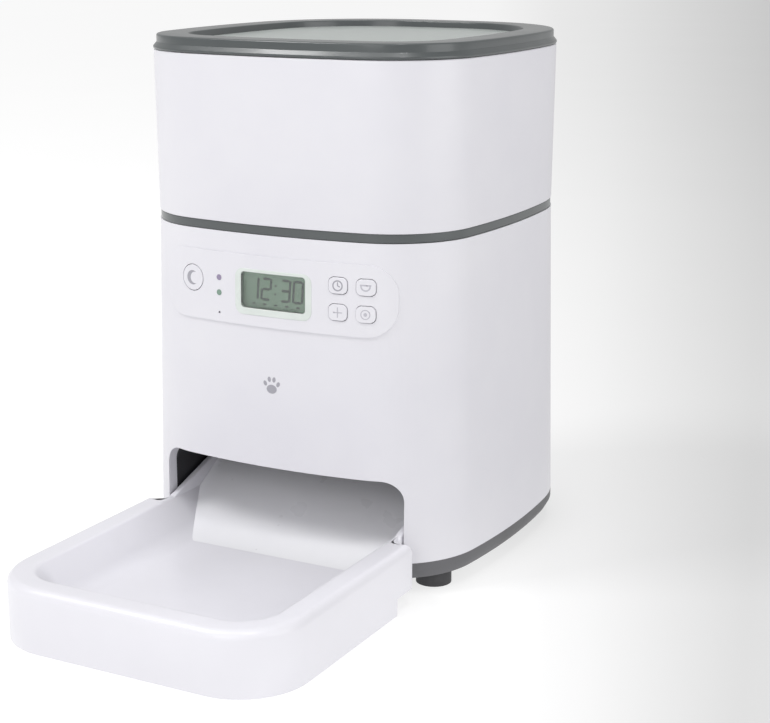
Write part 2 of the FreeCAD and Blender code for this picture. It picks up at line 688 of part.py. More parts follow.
def rotorAssembly():
    """Rotor with six arms, silicone wipers on the arms, shaft, bush and centre cap."""
    body = doc.addObject("PartDesign::Body", "rotor_body")
    bind(body, "Placement.Base.y", "rotor_y")
    hubSketch = newSketch(body, "hub_sketch", "XY_Plane", "rotor_low")
    for radius in ("hub_radius", "shaft_radius"):
        circle = hubSketch.addGeometry(Part.Circle(Vector(), Vector(0, 0, 1), number(radius)), False)
        hubSketch.addConstraint(Sketcher.Constraint("Coincident", circle, 3, -1, 1))
        limit(hubSketch, "Radius", circle, radius)
    hub = body.newObject("PartDesign::Pad", "hub_pad")
    hub.Profile = hubSketch
    bind(hub, "Length", "rotor_high - rotor_low")
    armSketch = newSketch(body, "arm_sketch", "XY_Plane", "rotor_low")
    rectangle(armSketch, "hub_radius - 1", "arm_reach", "-arm_thick / 2", "arm_thick / 2", "0.4")
    arm = body.newObject("PartDesign::Pad", "arm_pad")
    arm.Profile = armSketch
    bind(arm, "Length", "rotor_high - rotor_low")
    arms = body.newObject("PartDesign::PolarPattern", "arm_pattern")
    arms.Originals = [arm]
    arms.Axis = (armSketch, ["N_Axis"])
    arms.Angle = 360
    bind(arms, "Occurrences", "arm_count")
    body.Tip = arms
    subPart(body, "portion_rotor")

    wipers = []
    for index in range(int(number("arm_count"))):
        strip = block(f"wiper_{index}", "arm_reach", "wiper_reach", "-arm_thick / 2", "arm_thick / 2",
                      "rotor_low", "rotor_high")
        turned = doc.addObject("Part::Compound", f"wiper_turned_{index}")
        turned.Links = [strip]
        turned.Placement.Rotation = Rotation(Vector(0, 0, 1), 360 * index / number("arm_count"))
        wipers.append(turned)
    wiperGroup = group("wipers", wipers)
    bind(wiperGroup, "Placement.Base.y", "rotor_y")
    subPart(wiperGroup, "rotor_wipers")

    subPart(rod("shaft", "0", "rotor_y", "shaft_low", "shaft_radius", "rotor_high - shaft_low"),
            "rotor_shaft")
    bush = cut("bush", rod("bush_solid", "0", "rotor_y", "bush_low", "bush_radius", "bush_high - bush_low"),
               rod("bush_bore", "0", "rotor_y", "bush_low - 1", "shaft_radius + running_gap",
                   "bush_high - bush_low + 2"))
    subPart(bush, "shaft_bush")
    cap = doc.addObject("Part::Cone", "cap")
    bind(cap, "Radius1", "hub_radius - 1")
    bind(cap, "Radius2", "shaft_radius")
    bind(cap, "Height", "5")
    bind(cap, "Placement.Base.y", "rotor_y")
    bind(cap, "Placement.Base.z", "rotor_high")
    subPart(cap, "rotor_cap")


def gear(name, teeth, bore, y, firstTooth):
    """A spur gear with straight-sided teeth; firstTooth is the angle of one tooth, in degrees."""
    body = doc.addObject("PartDesign::Body", name)
    bind(body, "Placement.Base.y", y)
    body.Placement.Rotation = Rotation(Vector(0, 0, 1), firstTooth)
    rootSketch = newSketch(body, f"{name}_root", "XY_Plane", "gear_low")
    for radius in (f"module_size * ({teeth} - 2.5) / 2", bore):
        circle = rootSketch.addGeometry(Part.Circle(Vector(), Vector(0, 0, 1), number(radius)), False)
        rootSketch.addConstraint(Sketcher.Constraint("Coincident", circle, 3, -1, 1))
        limit(rootSketch, "Radius", circle, radius)
    blank = body.newObject("PartDesign::Pad", f"{name}_blank")
    blank.Profile = rootSketch
    bind(blank, "Length", "gear_thick")
    toothSketch = newSketch(body, f"{name}_tooth_sketch", "XY_Plane", "gear_low")
    inside = f"module_size * ({teeth} - 3.2) / 2"
    outside = f"module_size * ({teeth} + 2) / 2"
    corners = [(inside, "-module_size"), (outside, "-module_size * 0.35"),
               (outside, "module_size * 0.35"), (inside, "module_size")]
    points = [Vector(number(x), number(y_), 0) for x, y_ in corners]
    lines = []
    for index in range(4):
        segment = Part.LineSegment(points[index], points[(index + 1) % 4])
        lines.append(toothSketch.addGeometry(segment, False))
    for index in range(4):
        following = lines[(index + 1) % 4]
        toothSketch.addConstraint(Sketcher.Constraint("Coincident", lines[index], 2, following, 1))
        limit(toothSketch, "DistanceX", -1, 1, lines[index], 1, corners[index][0])
        limit(toothSketch, "DistanceY", -1, 1, lines[index], 1, corners[index][1])
    tooth = body.newObject("PartDesign::Pad", f"{name}_tooth")
    tooth.Profile = toothSketch
    bind(tooth, "Length", "gear_thick")
    ring = body.newObject("PartDesign::PolarPattern", f"{name}_teeth")
    ring.Originals = [tooth]
    ring.Axis = (toothSketch, ["N_Axis"])
    ring.Angle = 360
    bind(ring, "Occurrences", teeth)
    body.Tip = ring
    return body


def postPlaces():
    return [(f"post_x * {side}", y) for side in (-1, 1) for y in ("-post_front", "post_back")]


def drive():
    """Gear plate with posts, gears, motor with gearbox, and the position switch."""
    pinionY = "rotor_y + module_size * (gear_teeth + pinion_teeth) / 2"
    subPart(gear("gear_body", "gear_teeth", "shaft_radius", "rotor_y", 90), "drive_gear")
    halfPitch = 180 / number("pinion_teeth")
    subPart(gear("pinion_body", "pinion_teeth", "output_radius", pinionY, -90 + halfPitch), "motor_pinion")
    subPart(rod("output", "0", pinionY, "plate_low + 0.6", "output_radius",
                "gear_low + gear_thick - plate_low"),
            "motor_output_shaft")
    solids = [block("plate_solid", "-plate_half", "plate_half", "-plate_front", "plate_back", "plate_low",
                    "plate_low + plate_thick")]
    holes = [rod("plate_bore", "0", "rotor_y", "plate_low - 1", "shaft_radius + running_gap",
                 "plate_thick + 2"),
             rod("plate_motor_bore", "0", pinionY, "plate_low - 1", "output_radius * 2", "plate_thick + 2")]
    screws = []
    for index, (x, y) in enumerate(postPlaces()):
        solids.append(rod(f"post_{index}", x, y, "plate_low", "post_radius", "cup_low - plate_low"))
        holes.append(rod(f"post_hole_{index}", x, y, "plate_low - 1", "screw_radius + 0.05", "cup_low"))
        screws.append(screw(f"post_screw_{index}", x, y, "plate_low - head_height",
                            ("screw_head", "head_height"),
                            ("screw_radius", "cup_low - plate_low + 1.5"), "z", 1))
    motorScrews = []
    for side in (-1, 1):
        x = f"gearbox_radius * 0.7 * {side}"
        holes.append(rod(f"plate_screw_{side + 1}", x, pinionY, "plate_low - 1", "screw_radius + 0.05",
                         "plate_thick + 2"))
        motorScrews.append(screw(f"motor_screw_{side + 1}", x, pinionY,
                                 "plate_low + plate_thick + head_height",
                                 ("screw_head", "head_height"), ("screw_radius", "plate_thick + 4"), "z", -1))
    subPart(cut("plate", join("plate_posts", *solids), *holes), "gear_plate")
    subPart(group("plate_screws", screws), "mechanism_screws")
    subPart(group("motor_screw_pair", motorScrews), "motor_screws")
    gearboxHoles = [rod(f"gearbox_hole_{side + 1}", f"gearbox_radius * 0.7 * {side}", pinionY,
                        "plate_low - 5",
                        "screw_radius", "6") for side in (-1, 1)]
    gearbox = rod("gearbox_solid", "0", pinionY, "plate_low - gearbox_height", "gearbox_radius",
                  "gearbox_height")
    subPart(cut("gearbox", gearbox, *gearboxHoles), "motor_gearbox")
    subPart(rod("motor", "0", pinionY, "plate_low - gearbox_height - motor_height", "motor_radius",
                "motor_height"),
            "motor_can")
    subPart(block("switch_solid", "23", "plate_half - 0.6", "12", "32", "plate_low + plate_thick",
                  "gear_low + gear_thick"),
            "position_switch")


# ---- control panel

def keyPlaces():
    return {
        "key_clock": ("key_left", "key_upper"),
        "key_meal": ("key_right", "key_upper"),
        "key_portion": ("key_left", "key_lower"),
        "key_record": ("key_right", "key_lower"),
    }


def keyBlock(name, x, z, grow, back):
    return forward(name, back, f"front_reach + flare - ({back}) + 4",
                   f"{x} - key_wide / 2 - {grow}", f"{x} + key_wide / 2 + {grow}",
                   f"{z} - key_tall / 2 - {grow}", f"{z} + key_tall / 2 + {grow}", f"key_corner + {grow}")


def controlPanel():
    """Panel let into the housing, display, keys and lamps, and the cutters for the housing."""
    depth = "front_reach + flare - jamb_back + 3"
    panelPrism = forward("panel_prism", "jamb_back", depth, "-panel_half", "panel_half", "panel_low",
                         "panel_high", "panel_corner")
    behind = flared("panel_behind", "-panel_depth")
    panelBlock = cut("panel_block", common("panel_front", panelPrism, flared("panel_skin", "panel_proud")),
                     behind)
    frameSize = ("display_left", "display_right", "display_low", "display_high", "display_corner")
    windowSize = ("display_left + window_margin", "display_right - window_margin",
                  "display_low + window_margin", "display_high - window_margin + 2", "window_corner")
    displayHole = forward("display_hole", "jamb_back", depth, *frameSize)
    keyHoles = [keyBlock(f"{name}_hole", x, z, "key_gap", "jamb_back") for name,
                (x, z) in keyPlaces().items()]
    keyHoles.append(rod("feed_hole", "feed_x", "-front_reach - flare - 2", "feed_z", "feed_radius + key_gap",
                        "front_reach + flare + 2 - jamb_back", "y"))
    for index, height in enumerate(("lamp_upper", "lamp_lower")):
        keyHoles.append(rod(f"lamp_hole_{index}", "lamp_x", "-front_reach - flare - 2", height, "lamp_radius",
                            "front_reach + flare + 2 - jamb_back", "y"))
    keyHoles.append(rod("microphone_hole", "lamp_x", "-front_reach - flare - 2", "microphone_z", "pinhole",
                        "front_reach + flare + 2 - jamb_back", "y"))
    subPart(cut("panel", panelBlock, displayHole, *keyHoles), "control_panel")

    frameBlock = common("frame_front", forward("frame_prism", "jamb_back", depth, *frameSize),
                        flared("frame_skin", "display_proud"))
    window = forward("window_prism", "jamb_back", depth, *windowSize)
    frame = cut("display_ring", frameBlock, flared("frame_behind", "-display_depth"), window)
    subPart(frame, "display_frame")
    lens = cut("lens", common("lens_front", window, flared("lens_skin", "lens_proud")),
               flared("lens_behind", "-lens_depth"))
    subPart(lens, "display_lens")
    subPart(block("lcd", "display_left + window_margin - 1.6", "display_right - window_margin + 1.6",
                  "-lcd_front + 1.2", "-lcd_front + 1.2 + lcd_thick", "display_low + window_margin - 1",
                  "display_high - 1"), "lcd_glass")
    subPart(block("backlight", "display_left + 1", "display_right - 1", "-lcd_front + 1.2 + lcd_thick",
                  "-board_front", "display_low + 1", "display_high - 1"), "lcd_backlight")

    for name, (x, z) in keyPlaces().items():
        key = common(f"{name}_cap", keyBlock(f"{name}_block", x, z, "0", "key_back"),
                     flared(f"{name}_skin", "key_proud"))
        subPart(key, name)
    feed = common("feed_cap", rod("feed_rod", "feed_x", "-front_reach - flare - 2", "feed_z", "feed_radius",
                                  "front_reach + flare + 2 - key_back", "y"), flared("feed_skin",
                                                                                     "feed_proud"))
    subPart(feed, "feed_button")
    lamps = []
    for index, height in enumerate(("lamp_upper", "lamp_lower")):
        lens = rod(f"lamp_rod_{index}", "lamp_x", "-front_reach - flare - 2", height, "lamp_radius",
                   "front_reach + flare + 2 - lamp_back", "y")
        lamps.append(common(f"lamp_{index}", lens, flared(f"lamp_skin_{index}", "panel_proud + 0.2")))
    subPart(group("lamps", lamps), "indicator_lenses")
    return panelBlock, displayHole, keyHoles


def controlBoard():
    """Board behind the panel with the key switches and the microphone in front."""
    solid = block("control_board_solid", "-board_half", "board_half", "-board_front",
                  "-board_front + board_thick",
                  "board_low", "board_high")
    holes = [rod(f"control_board_hole_{index}", x, "-board_front - 1", z, "board_screw + 0.05",
                 "board_thick + 2", "y")
             for index, (x, z) in enumerate(boardScrewPlaces())]
    subPart(cut("control_board_cut", solid, *holes), "control_board")
    switches = []
    places = list(keyPlaces().values()) + [("feed_x", "feed_z")]
    for index, (x, z) in enumerate(places):
        half = "switch_side / 2"
        switches.append(block(f"tact_{index}", f"{x} - {half}", f"{x} + {half}", "-key_back + switch_gap",
                              "-board_front", f"{z} - {half}", f"{z} + {half}"))
    subPart(group("tacts", switches), "key_switches")
    subPart(rod("capsule", "lamp_x", "-board_front - 2.7", "microphone_z", "microphone_radius", "2.7", "y"),
            "microphone")
    solid = block("main_board_solid", "-main_half", "main_half", "main_y", "main_y + board_thick", "main_low",
                  "main_high")
    holes = [rod(f"main_board_hole_{index}", x, "main_y - 1", z, "board_screw + 0.05", "board_thick + 2", "y")
             for index, (x, z) in enumerate(mainScrewPlaces())]
    subPart(cut("main_board_cut", solid, *holes), "main_board")
    head = ("boss_radius - 0.4", "head_height")
    shank = ("board_screw", "5")
    screws = [screw(f"front_board_screw_{index}", x, "-board_front + board_thick + head_height", z, head,
                    shank, "y", -1)
              for index, (x, z) in enumerate(boardScrewPlaces())]
    screws += [screw(f"main_board_screw_{index}", x, "main_y - head_height", z, head, shank, "y", 1)
               for index, (x, z) in enumerate(mainScrewPlaces())]
    subPart(group("small_screws", screws), "board_screws")


def rearFittings():
    """Speaker and power inlet on the back wall."""
    cone = doc.addObject("Part::Cone", "speaker_cone")
    cone.Placement.Rotation = Rotation(Vector(1, 0, 0), -90)
    bind(cone, "Radius1", "speaker_radius / 2")
    bind(cone, "Radius2", "speaker_radius")
    bind(cone, "Height", "speaker_depth - 3")
    bind(cone, "Placement.Base.y", "speaker_back - speaker_depth")
    bind(cone, "Placement.Base.z", "speaker_z")
    rim = rod("speaker_rim", "0", "speaker_back - 3", "speaker_z", "speaker_radius", "3", "y")
    subPart(join("speaker_solid", cone, rim), "speaker")
    barrel = rod("jack_barrel", "0", "jack_front", "jack_z", "jack_radius", "jack_length", "y")
    shoulder = block("jack_body", "-6.5", "6.5", "jack_front - 4", "jack_front + 9", "jack_z - 5.5",
                     "jack_z + 5.5")
    bore = rod("jack_bore_tool", "0", "jack_front + jack_length - jack_depth", "jack_z", "jack_bore",
               "jack_depth + 1", "y")
    pin = rod("jack_pin_solid", "0", "jack_front + jack_length - jack_depth - 1", "jack_z", "jack_pin",
              "jack_depth", "y")
    subPart(join("jack", cut("jack_hollow", join("jack_solid", barrel, shoulder), bore), pin), "power_inlet")


def batteries():
    """Battery box, three D cells, contacts and the door under the base."""
    low = "plinth_low + wall + 0.1"
    box = block("box_solid", "-box_half", "box_half", "box_front", "box_back", low, "box_high")
    room = block("box_room", "-box_half + box_wall", "box_half - box_wall", "box_front + box_wall",
                 "box_back - box_wall", f"{low} - 1", "box_high - box_wall")
    subPart(cut("box", box, room), "battery_box")
    cells = []
    springs = []
    plates = []
    for slot in (-1, 0, 1):
        x = f"cell_pitch * {slot}"
        z = "cell_low + cell_radius"
        can = rod(f"cell_can_{slot + 1}", x, "cell_front", z, "cell_radius", "cell_length - 1.5", "y")
        nub = rod(f"cell_nub_{slot + 1}", x, "cell_front + cell_length - 1.5", z, "cell_radius * 0.28",
                  "1.5", "y")
        cells.append(join(f"cell_{slot + 1}", can, nub))
        back = "box_front + box_wall"
        turns = [
            rod(f"spring_plate_{slot + 1}", x, back, z, "cell_radius * 0.75", "contact_thick", "y"),
            rod(f"spring_stem_{slot + 1}", x, f"{back} + contact_thick", z, "cell_radius * 0.35",
                "cell_front - box_front - box_wall - contact_thick - 0.1", "y"),
        ]
        springs.append(join(f"spring_{slot + 1}", *turns))
        plates.append(block(f"contact_{slot + 1}", f"{x} - cell_radius * 0.6", f"{x} + cell_radius * 0.6",
                            "box_back - box_wall - contact_thick", "box_back - box_wall",
                            f"{z} - cell_radius * 0.6", f"{z} + cell_radius * 0.6"))
    subPart(group("cells", cells), "battery_cells")
    subPart(group("springs", springs), "battery_springs")
    subPart(group("contacts", plates), "battery_contacts")
    door = block("door", "-box_half - 1 + door_gap", "box_half + 1 - door_gap", "box_front - 2 + door_gap",
                 "box_back + 1 - door_gap", "plinth_low", "plinth_low + door_thick")
    subPart(door, "battery_door")


def bottomScrews():
    screws = [screw(f"bottom_screw_{index}", x, y, "plinth_low + 0.1", ("screw_head", "head_height"),
                    ("screw_radius", "screw_top - plinth_low - 2"), "z", 1)
              for index, (x, y) in enumerate(bottomScrewPlaces())]
    subPart(group("long_screws", screws), "bottom_screws")


# ---- tray

def foodTray():
    """Wide shell with a rounded rim in front, one long basin, and a ramp between cheeks in the bay."""
    body = doc.addObject("PartDesign::Body", "tray_solid")
    sketch = newSketch(body, "tray_sketch", "XY_Plane", "0")
    trayPlan(sketch, "0", "-tray_back")
    pad = body.newObject("PartDesign::Pad", "tray_pad")
    pad.Profile = sketch
    bind(pad, "Length", "tray_high")
    doc.recompute()
    top = [f"Edge{index}" for index, edge in enumerate(pad.Shape.Edges, start=1)
           if edge.BoundBox.ZMin > number("tray_high") - 0.01]
    rim = body.newObject("PartDesign::Fillet", "tray_rim")
    rim.Base = (pad, top)
    bind(rim, "Radius", "tray_edge")
    tongue = block("tongue_solid", "-tongue_half", "tongue_half", "-tray_back - tray_edge - 12",
                   "-tongue_back",
                   "tongue_low", "tray_high")
    basin = loft("basin", rectangle, [
        ("basin_floor", "rim_width + basin_slope - tray_half", "tray_half - rim_width - basin_slope",
         "rim_width + basin_slope - tray_reach", "-basin_back - basin_slope", "tray_corner - rim_width"),
        ("tray_high + 0.5", "rim_width - tray_half", "tray_half - rim_width",
         "rim_width - tray_reach", "-basin_back", "tray_corner - rim_width + 1"),
    ])
    under = prism("tray_under", "XY_Plane", "-1", "tongue_low + 1", trayPlan, "tray_wall", "-tray_back")
    ringOuter = prism("ring_outer", "XY_Plane", "tongue_low - 1", "tray_high - tray_edge - tongue_low",
                      trayPlan,
                      "tray_wall", "-tray_back")
    ringInner = prism("ring_inner", "XY_Plane", "tongue_low - 2", "tray_high", trayPlan, "rim_width - 4",
                      "-tongue_back")
    behindRing = block("ring_behind", "-tongue_half - 2", "tongue_half + 2", "-tray_back - 20", "0", "0",
                       "tray_high")
    ring = cut("tray_ring", ringOuter, ringInner, behindRing)
    lowNotch = block("notch_low", "-tray_half - 1", "tray_half + 1", "-skirt_notch", "0", "-1", "notch_high")
    highNotch = block("notch_high_block", "-tongue_half - 1", "tongue_half + 1", "-skirt_notch", "0", "-1",
                      "tongue_low")
    solid = join("tray_joined", body, tongue)
    dish = cut("tray_dish", solid, basin, under, ring, lowNotch, highNotch)
    cheeks = loft("cheeks", rectangle, [
        ("tongue_low", "-tongue_half", "tongue_half", "-cheek_front", "-tongue_back", "cheek_corner"),
        ("tray_high - 0.5", "-tongue_half", "tongue_half", "-cheek_front", "-tongue_back", "cheek_corner"),
        ("cheek_high", "-tongue_half", "tongue_half", "-ramp_top", "-tongue_back", "cheek_corner"),
    ])
    slide = loft("ramp_room", rectangle, [
        ("basin_floor", "-ramp_half", "ramp_half", "-ramp_foot - 20", "-ramp_foot", "cheek_corner"),
        ("cheek_high + 1", "-ramp_half", "ramp_half", "-ramp_foot - 20", "-ramp_top - 0.5",
         "cheek_corner"),
    ])
    hollow = loft("ramp_hollow", rectangle, [
        ("tongue_low - 1", "-ramp_half", "ramp_half", "-ramp_foot - 1.5", "0", "cheek_corner"),
        ("cheek_high - 2", "-ramp_half", "ramp_half", "-ramp_top", "0", "cheek_corner"),
    ])
    rear = cut("tray_rear", cheeks, slide, hollow)
    floorHole = cut("tray_floor_cut", dish, hollow)
    subPart(join("tray", floorHole, rear), "food_tray")


def trayPlan(sketch, inset, back):
    """The tray's plan moved in by inset: large front corners, small rear corners."""
    half = number(f"tray_half - ({inset})")
    front = number(f"({inset}) - tray_reach")
    rear = number(f"({back}) - ({inset})")
    big = number(f"tray_corner - ({inset})")
    small = number("tray_rear_corner - 3")
    corners = [(half, front, big), (half, rear, small), (-half, rear, small), (-half, front, big)]
    arcs = []
    for turn, (x, y, r) in enumerate(corners):
        centre = Vector(x - math.copysign(r, x), y + (r if y == front else -r), 0)
        start = (turn - 1) * math.pi / 2
        circle = Part.Circle(centre, Vector(0, 0, 1), r)
        arcs.append(sketch.addGeometry(Part.ArcOfCircle(circle, start, start + math.pi / 2), False))
    geometry = sketch.Geometry
    sides = []
    for turn in range(4):
        ends = (geometry[arcs[turn]].EndPoint, geometry[arcs[(turn + 1) % 4]].StartPoint)
        sides.append(sketch.addGeometry(Part.LineSegment(*ends), False))
    for turn in range(4):
        sketch.addConstraint(Sketcher.Constraint("Tangent", arcs[turn], 2, sides[turn], 1))
        sketch.addConstraint(Sketcher.Constraint("Tangent", sides[turn], 2, arcs[(turn + 1) % 4], 1))
        kind = "Horizontal" if turn % 2 else "Vertical"
        sketch.addConstraint(Sketcher.Constraint(kind, sides[turn]))
    for first, second in ((0, 3), (1, 2)):
        sketch.addConstraint(Sketcher.Constraint("Equal", arcs[first], arcs[second]))
    limit(sketch, "Radius", arcs[0], f"tray_corner - ({inset})")
    limit(sketch, "Radius", arcs[1], "tray_rear_corner - 3")
    limit(sketch, "DistanceX", -1, 1, sides[0], 1, f"tray_half - ({inset})")
    limit(sketch, "DistanceY", -1, 1, sides[1], 1, f"({back}) - ({inset})")
    limit(sketch, "DistanceX", -1, 1, sides[2], 1, f"({inset}) - tray_half")
    limit(sketch, "DistanceY", -1, 1, sides[3], 1, f"({inset}) - tray_reach")


# ---- tank

def tank():
    """White wall, funnel with its neck, and the grey base whose edge is the seam band."""
    outer = plan("tank_outer", ("seam_high", "0"), ("tank_high", "-tank_flare"))
    inner = plan("tank_inner", ("seam_high - 1", "wall"), ("tank_high + 1", "wall - tank_flare"))
    subPart(cut("tank_wall", outer, inner), "tank_shell")

    reach = plan("funnel_reach", ("neck_low", "wall + 0.1"), ("cone_low + cone_rise + cone_wall",
                                                              "wall + 0.1 - tank_flare / 2"))
    cones = []
    for name, drop in (("funnel_cone", "cone_wall"), ("funnel_space", "0")):
        cone = doc.addObject("Part::Cone", name)
        bind(cone, "Radius1", "neck_radius")
        bind(cone, "Radius2", "neck_radius + cone_run")
        bind(cone, "Height", "cone_rise")
        bind(cone, "Placement.Base.y", "rotor_y")
        bind(cone, "Placement.Base.z", f"cone_low - {drop}")
        cones.append(cone)
    neck = rod("neck", "0", "rotor_y", "neck_low", "neck_radius + neck_wall", "cone_low - neck_low")
    throat = rod("throat", "0", "rotor_y", "neck_low - 1", "neck_radius", "cone_low - neck_low + 2")
    above = plan("funnel_above", ("cone_low + cone_rise - cone_wall", "-20"), ("tank_high", "-20"))
    solid = common("funnel_solid", join("funnel_blank", cones[0], neck), reach)
    subPart(cut("funnel", solid, cones[1], throat, above), "tank_funnel")

    plate = plan("base_plate", ("seam_low + 0.25", "fit_gap"), ("seam_high - 0.05", "fit_gap"))
    spigot = plan("base_spigot", ("seam_low - deck_drop + fit_gap", "wall + fit_gap"),
                  ("seam_high - 1", "wall + fit_gap"))
    inside = plan("base_inside", ("seam_low - deck_drop", "wall * 2 + fit_gap"),
                  ("seam_low + 0.5", "wall * 2 + fit_gap"))
    upper = plan("base_upper", ("seam_low + 2.6", "wall"), ("seam_high + 1", "wall"))
    hole = rod("base_hole", "0", "rotor_y", "neck_low", "neck_radius + neck_wall + 0.3", "20")
    subPart(cut("tank_floor", join("tank_floor_solid", plate, spigot), inside, upper, hole), "tank_base")


# ---- lid

def lid():
    """Grey frame with a plug skirt, window, gasket and the desiccant box."""
    low = "tank_high + lid_gap"
    ring = plan("lid_ring", (low, "-lid_out"), ("lid_high - 1.4", "-lid_out"), ("lid_high", "0.2 - lid_out"))
    opening = plan("lid_opening", ("lid_window_low", "window_inset"), ("lid_high + 1", "window_inset - 1"))
    through = plan("lid_through", ("skirt_low - 1", "window_inset + ledge"),
                   ("lid_high + 1", "window_inset + ledge"))
    skirt = plan("lid_skirt", ("skirt_low", "skirt_inset"), (f"{low} + 1", "skirt_inset"))
    skirtRoom = plan("skirt_room", ("skirt_low - 1", "skirt_inset + skirt_thick"),
                     (low, "skirt_inset + skirt_thick"))
    frame = cut("lid_cut", join("lid_solid", ring, skirt), opening, through, skirtRoom)
    subPart(frame, "lid_frame")
    window = plan("lid_pane", ("lid_window_low", "window_inset + 0.4"),
                  ("lid_window_low + lid_window_thick", "window_inset + 0.4"))
    subPart(window, "lid_window")
    gasketOuter = plan("gasket_outer", ("gasket_low", "gasket_inset"),
                       ("gasket_low + gasket_height", "gasket_inset"))
    gasketInner = plan("gasket_inner", ("gasket_low - 1", "skirt_inset"),
                       ("gasket_low + gasket_height + 1", "skirt_inset"))
    subPart(cut("gasket", gasketOuter, gasketInner), "lid_gasket")

    pot = block("pot_solid", "-pot_half", "pot_half", "pot_front", "pot_back", "pot_low", low)
    potRoom = block("pot_room", "-pot_half + pot_wall", "pot_half - pot_wall", "pot_front + pot_wall",
                    "pot_back - pot_wall", "pot_low - 1", f"{low} - pot_wall")
    subPart(cut("pot", pot, potRoom), "desiccant_box")
    cover = block("pot_cover", "-pot_half", "pot_half", "pot_front", "pot_back", "pot_low - 1.6",
                  "pot_low - 0.05")
    slots = []
    for index in range(7):
        x = f"pot_half * {(index - 3) * 0.25:.2f}"
        slots.append(block(f"pot_slot_{index}", f"{x} - 1.2", f"{x} + 1.2", "pot_front + 3", "pot_back - 3",
                           "pot_low - 3", "pot_low + 1"))
    subPart(cut("pot_cover_cut", cover, *slots), "desiccant_cover")
    subPart(block("pouch", "-pot_half + 2.5", "pot_half - 2.5", "pot_front + 2.5", "pot_back - 2.5",
                  "pot_low + 0.5",
                  f"{low} - 4"), "desiccant_pouch")


panelBlock, displayHole, keyHoles = controlPanel()
baseHousing(panelBlock, displayHole, keyHoles)
bottomCover()
feet()
bayLiner()
foodChute()
rotorCup()
rotorAssembly()
drive()
controlBoard()
rearFittings()
batteries()
bottomScrews()
foodTray()
tank()
lid()
doc.recompute()

for item in doc.Objects:
    if {"Invalid", "Error"} & set(item.State):
        raise RuntimeError(f"{item.Name} failed: {item.State}")
for item in subParts:
    if item.Shape.isNull() or not item.Shape.isValid() or not item.Shape.Solids:
        raise RuntimeError(f"{item.Label} has no valid solid")

os.makedirs("parts", exist_ok=True)
for item in subParts:
    item.Shape.exportStep(f"parts/{item.Label}.step")
    print(f"{item.Label}: {len(item.Shape.Solids)} solid(s), {item.Shape.Volume / 1000:.2f} cm3")
print(f"{len(subParts)} sub-parts")
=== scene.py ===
import math

import bmesh
import bpy
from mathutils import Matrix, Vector


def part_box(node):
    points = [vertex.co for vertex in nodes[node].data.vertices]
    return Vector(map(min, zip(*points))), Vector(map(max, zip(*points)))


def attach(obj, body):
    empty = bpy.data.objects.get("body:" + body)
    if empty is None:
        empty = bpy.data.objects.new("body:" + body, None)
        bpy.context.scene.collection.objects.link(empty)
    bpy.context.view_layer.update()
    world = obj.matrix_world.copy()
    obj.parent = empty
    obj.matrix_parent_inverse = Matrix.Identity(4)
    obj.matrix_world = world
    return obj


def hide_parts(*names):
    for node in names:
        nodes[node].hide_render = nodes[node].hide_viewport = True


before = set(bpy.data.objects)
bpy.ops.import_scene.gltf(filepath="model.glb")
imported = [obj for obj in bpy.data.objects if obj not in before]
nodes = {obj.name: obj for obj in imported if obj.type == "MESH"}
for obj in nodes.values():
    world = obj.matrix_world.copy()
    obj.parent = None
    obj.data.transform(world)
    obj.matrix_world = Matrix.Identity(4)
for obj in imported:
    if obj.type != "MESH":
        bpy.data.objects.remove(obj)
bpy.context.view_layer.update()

mm = 0.001
mergeDistance = 1e-6   # corners nearer than this are one corner
print("frame loaded:", len(nodes), "nodes")

# the boxes of the nodes that the visual pieces are fitted to
shaftLow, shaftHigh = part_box("rotor_shaft")
baseLow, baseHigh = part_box("base_housing")
tankLow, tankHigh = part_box("tank_shell")
trayLow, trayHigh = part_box("food_tray")
lidLow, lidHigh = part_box("lid_frame")

plan = {   # the housing's outline from above, at the seam between tank and base
    "middleY": (shaftLow.y + shaftHigh.y) / 2 - 9 * mm,   # the rotor stands 9 mm behind the middle
    "halfWidth": 100 * mm,
    "frontReach": 101 * mm,
    "backReach": 119 * mm,
    "frontBow": 370 * mm,
    "sideBow": 455 * mm,
    "backBow": 900 * mm,
    "frontCorner": 50 * mm,
    "backCorner": 80 * mm,
    "flare": 4 * mm,   # the base's foot stands out this far past the seam
    "bowSteps": 20,
    "cornerSteps": 26,
}


def hexColor(code):   # an sRGB hex code to a linear colour
    def linear(value):
        return value / 12.92 if value <= 0.04045 else ((value + 0.055) / 1.055) ** 2.4
    return tuple(linear(int(code[i:i + 2], 16) / 255) for i in (1, 3, 5)) + (1.0,)


def addNode(tree, kind, values=None, links=None, **settings):   # a linked node gives its first output
    node = tree.nodes.new(kind)
    for key, value in settings.items():
        setattr(node, key, value)
    for key, value in (values or {}).items():
        node.inputs[key].default_value = value
    for key, source in (links or {}).items():
        socket = source.outputs[0] if isinstance(source, bpy.types.Node) else source
        tree.links.new(socket, node.inputs[key])
    return node


def circleMeeting(first, firstRadius, second, secondRadius):
    between = second - first
    along = (firstRadius ** 2 - secondRadius ** 2 + between.length ** 2) / (2 * between.length)
    across = math.sqrt(firstRadius ** 2 - along ** 2)
    unit = between.normalized()
    return first + unit * along + Vector((-unit.y, unit.x)) * across


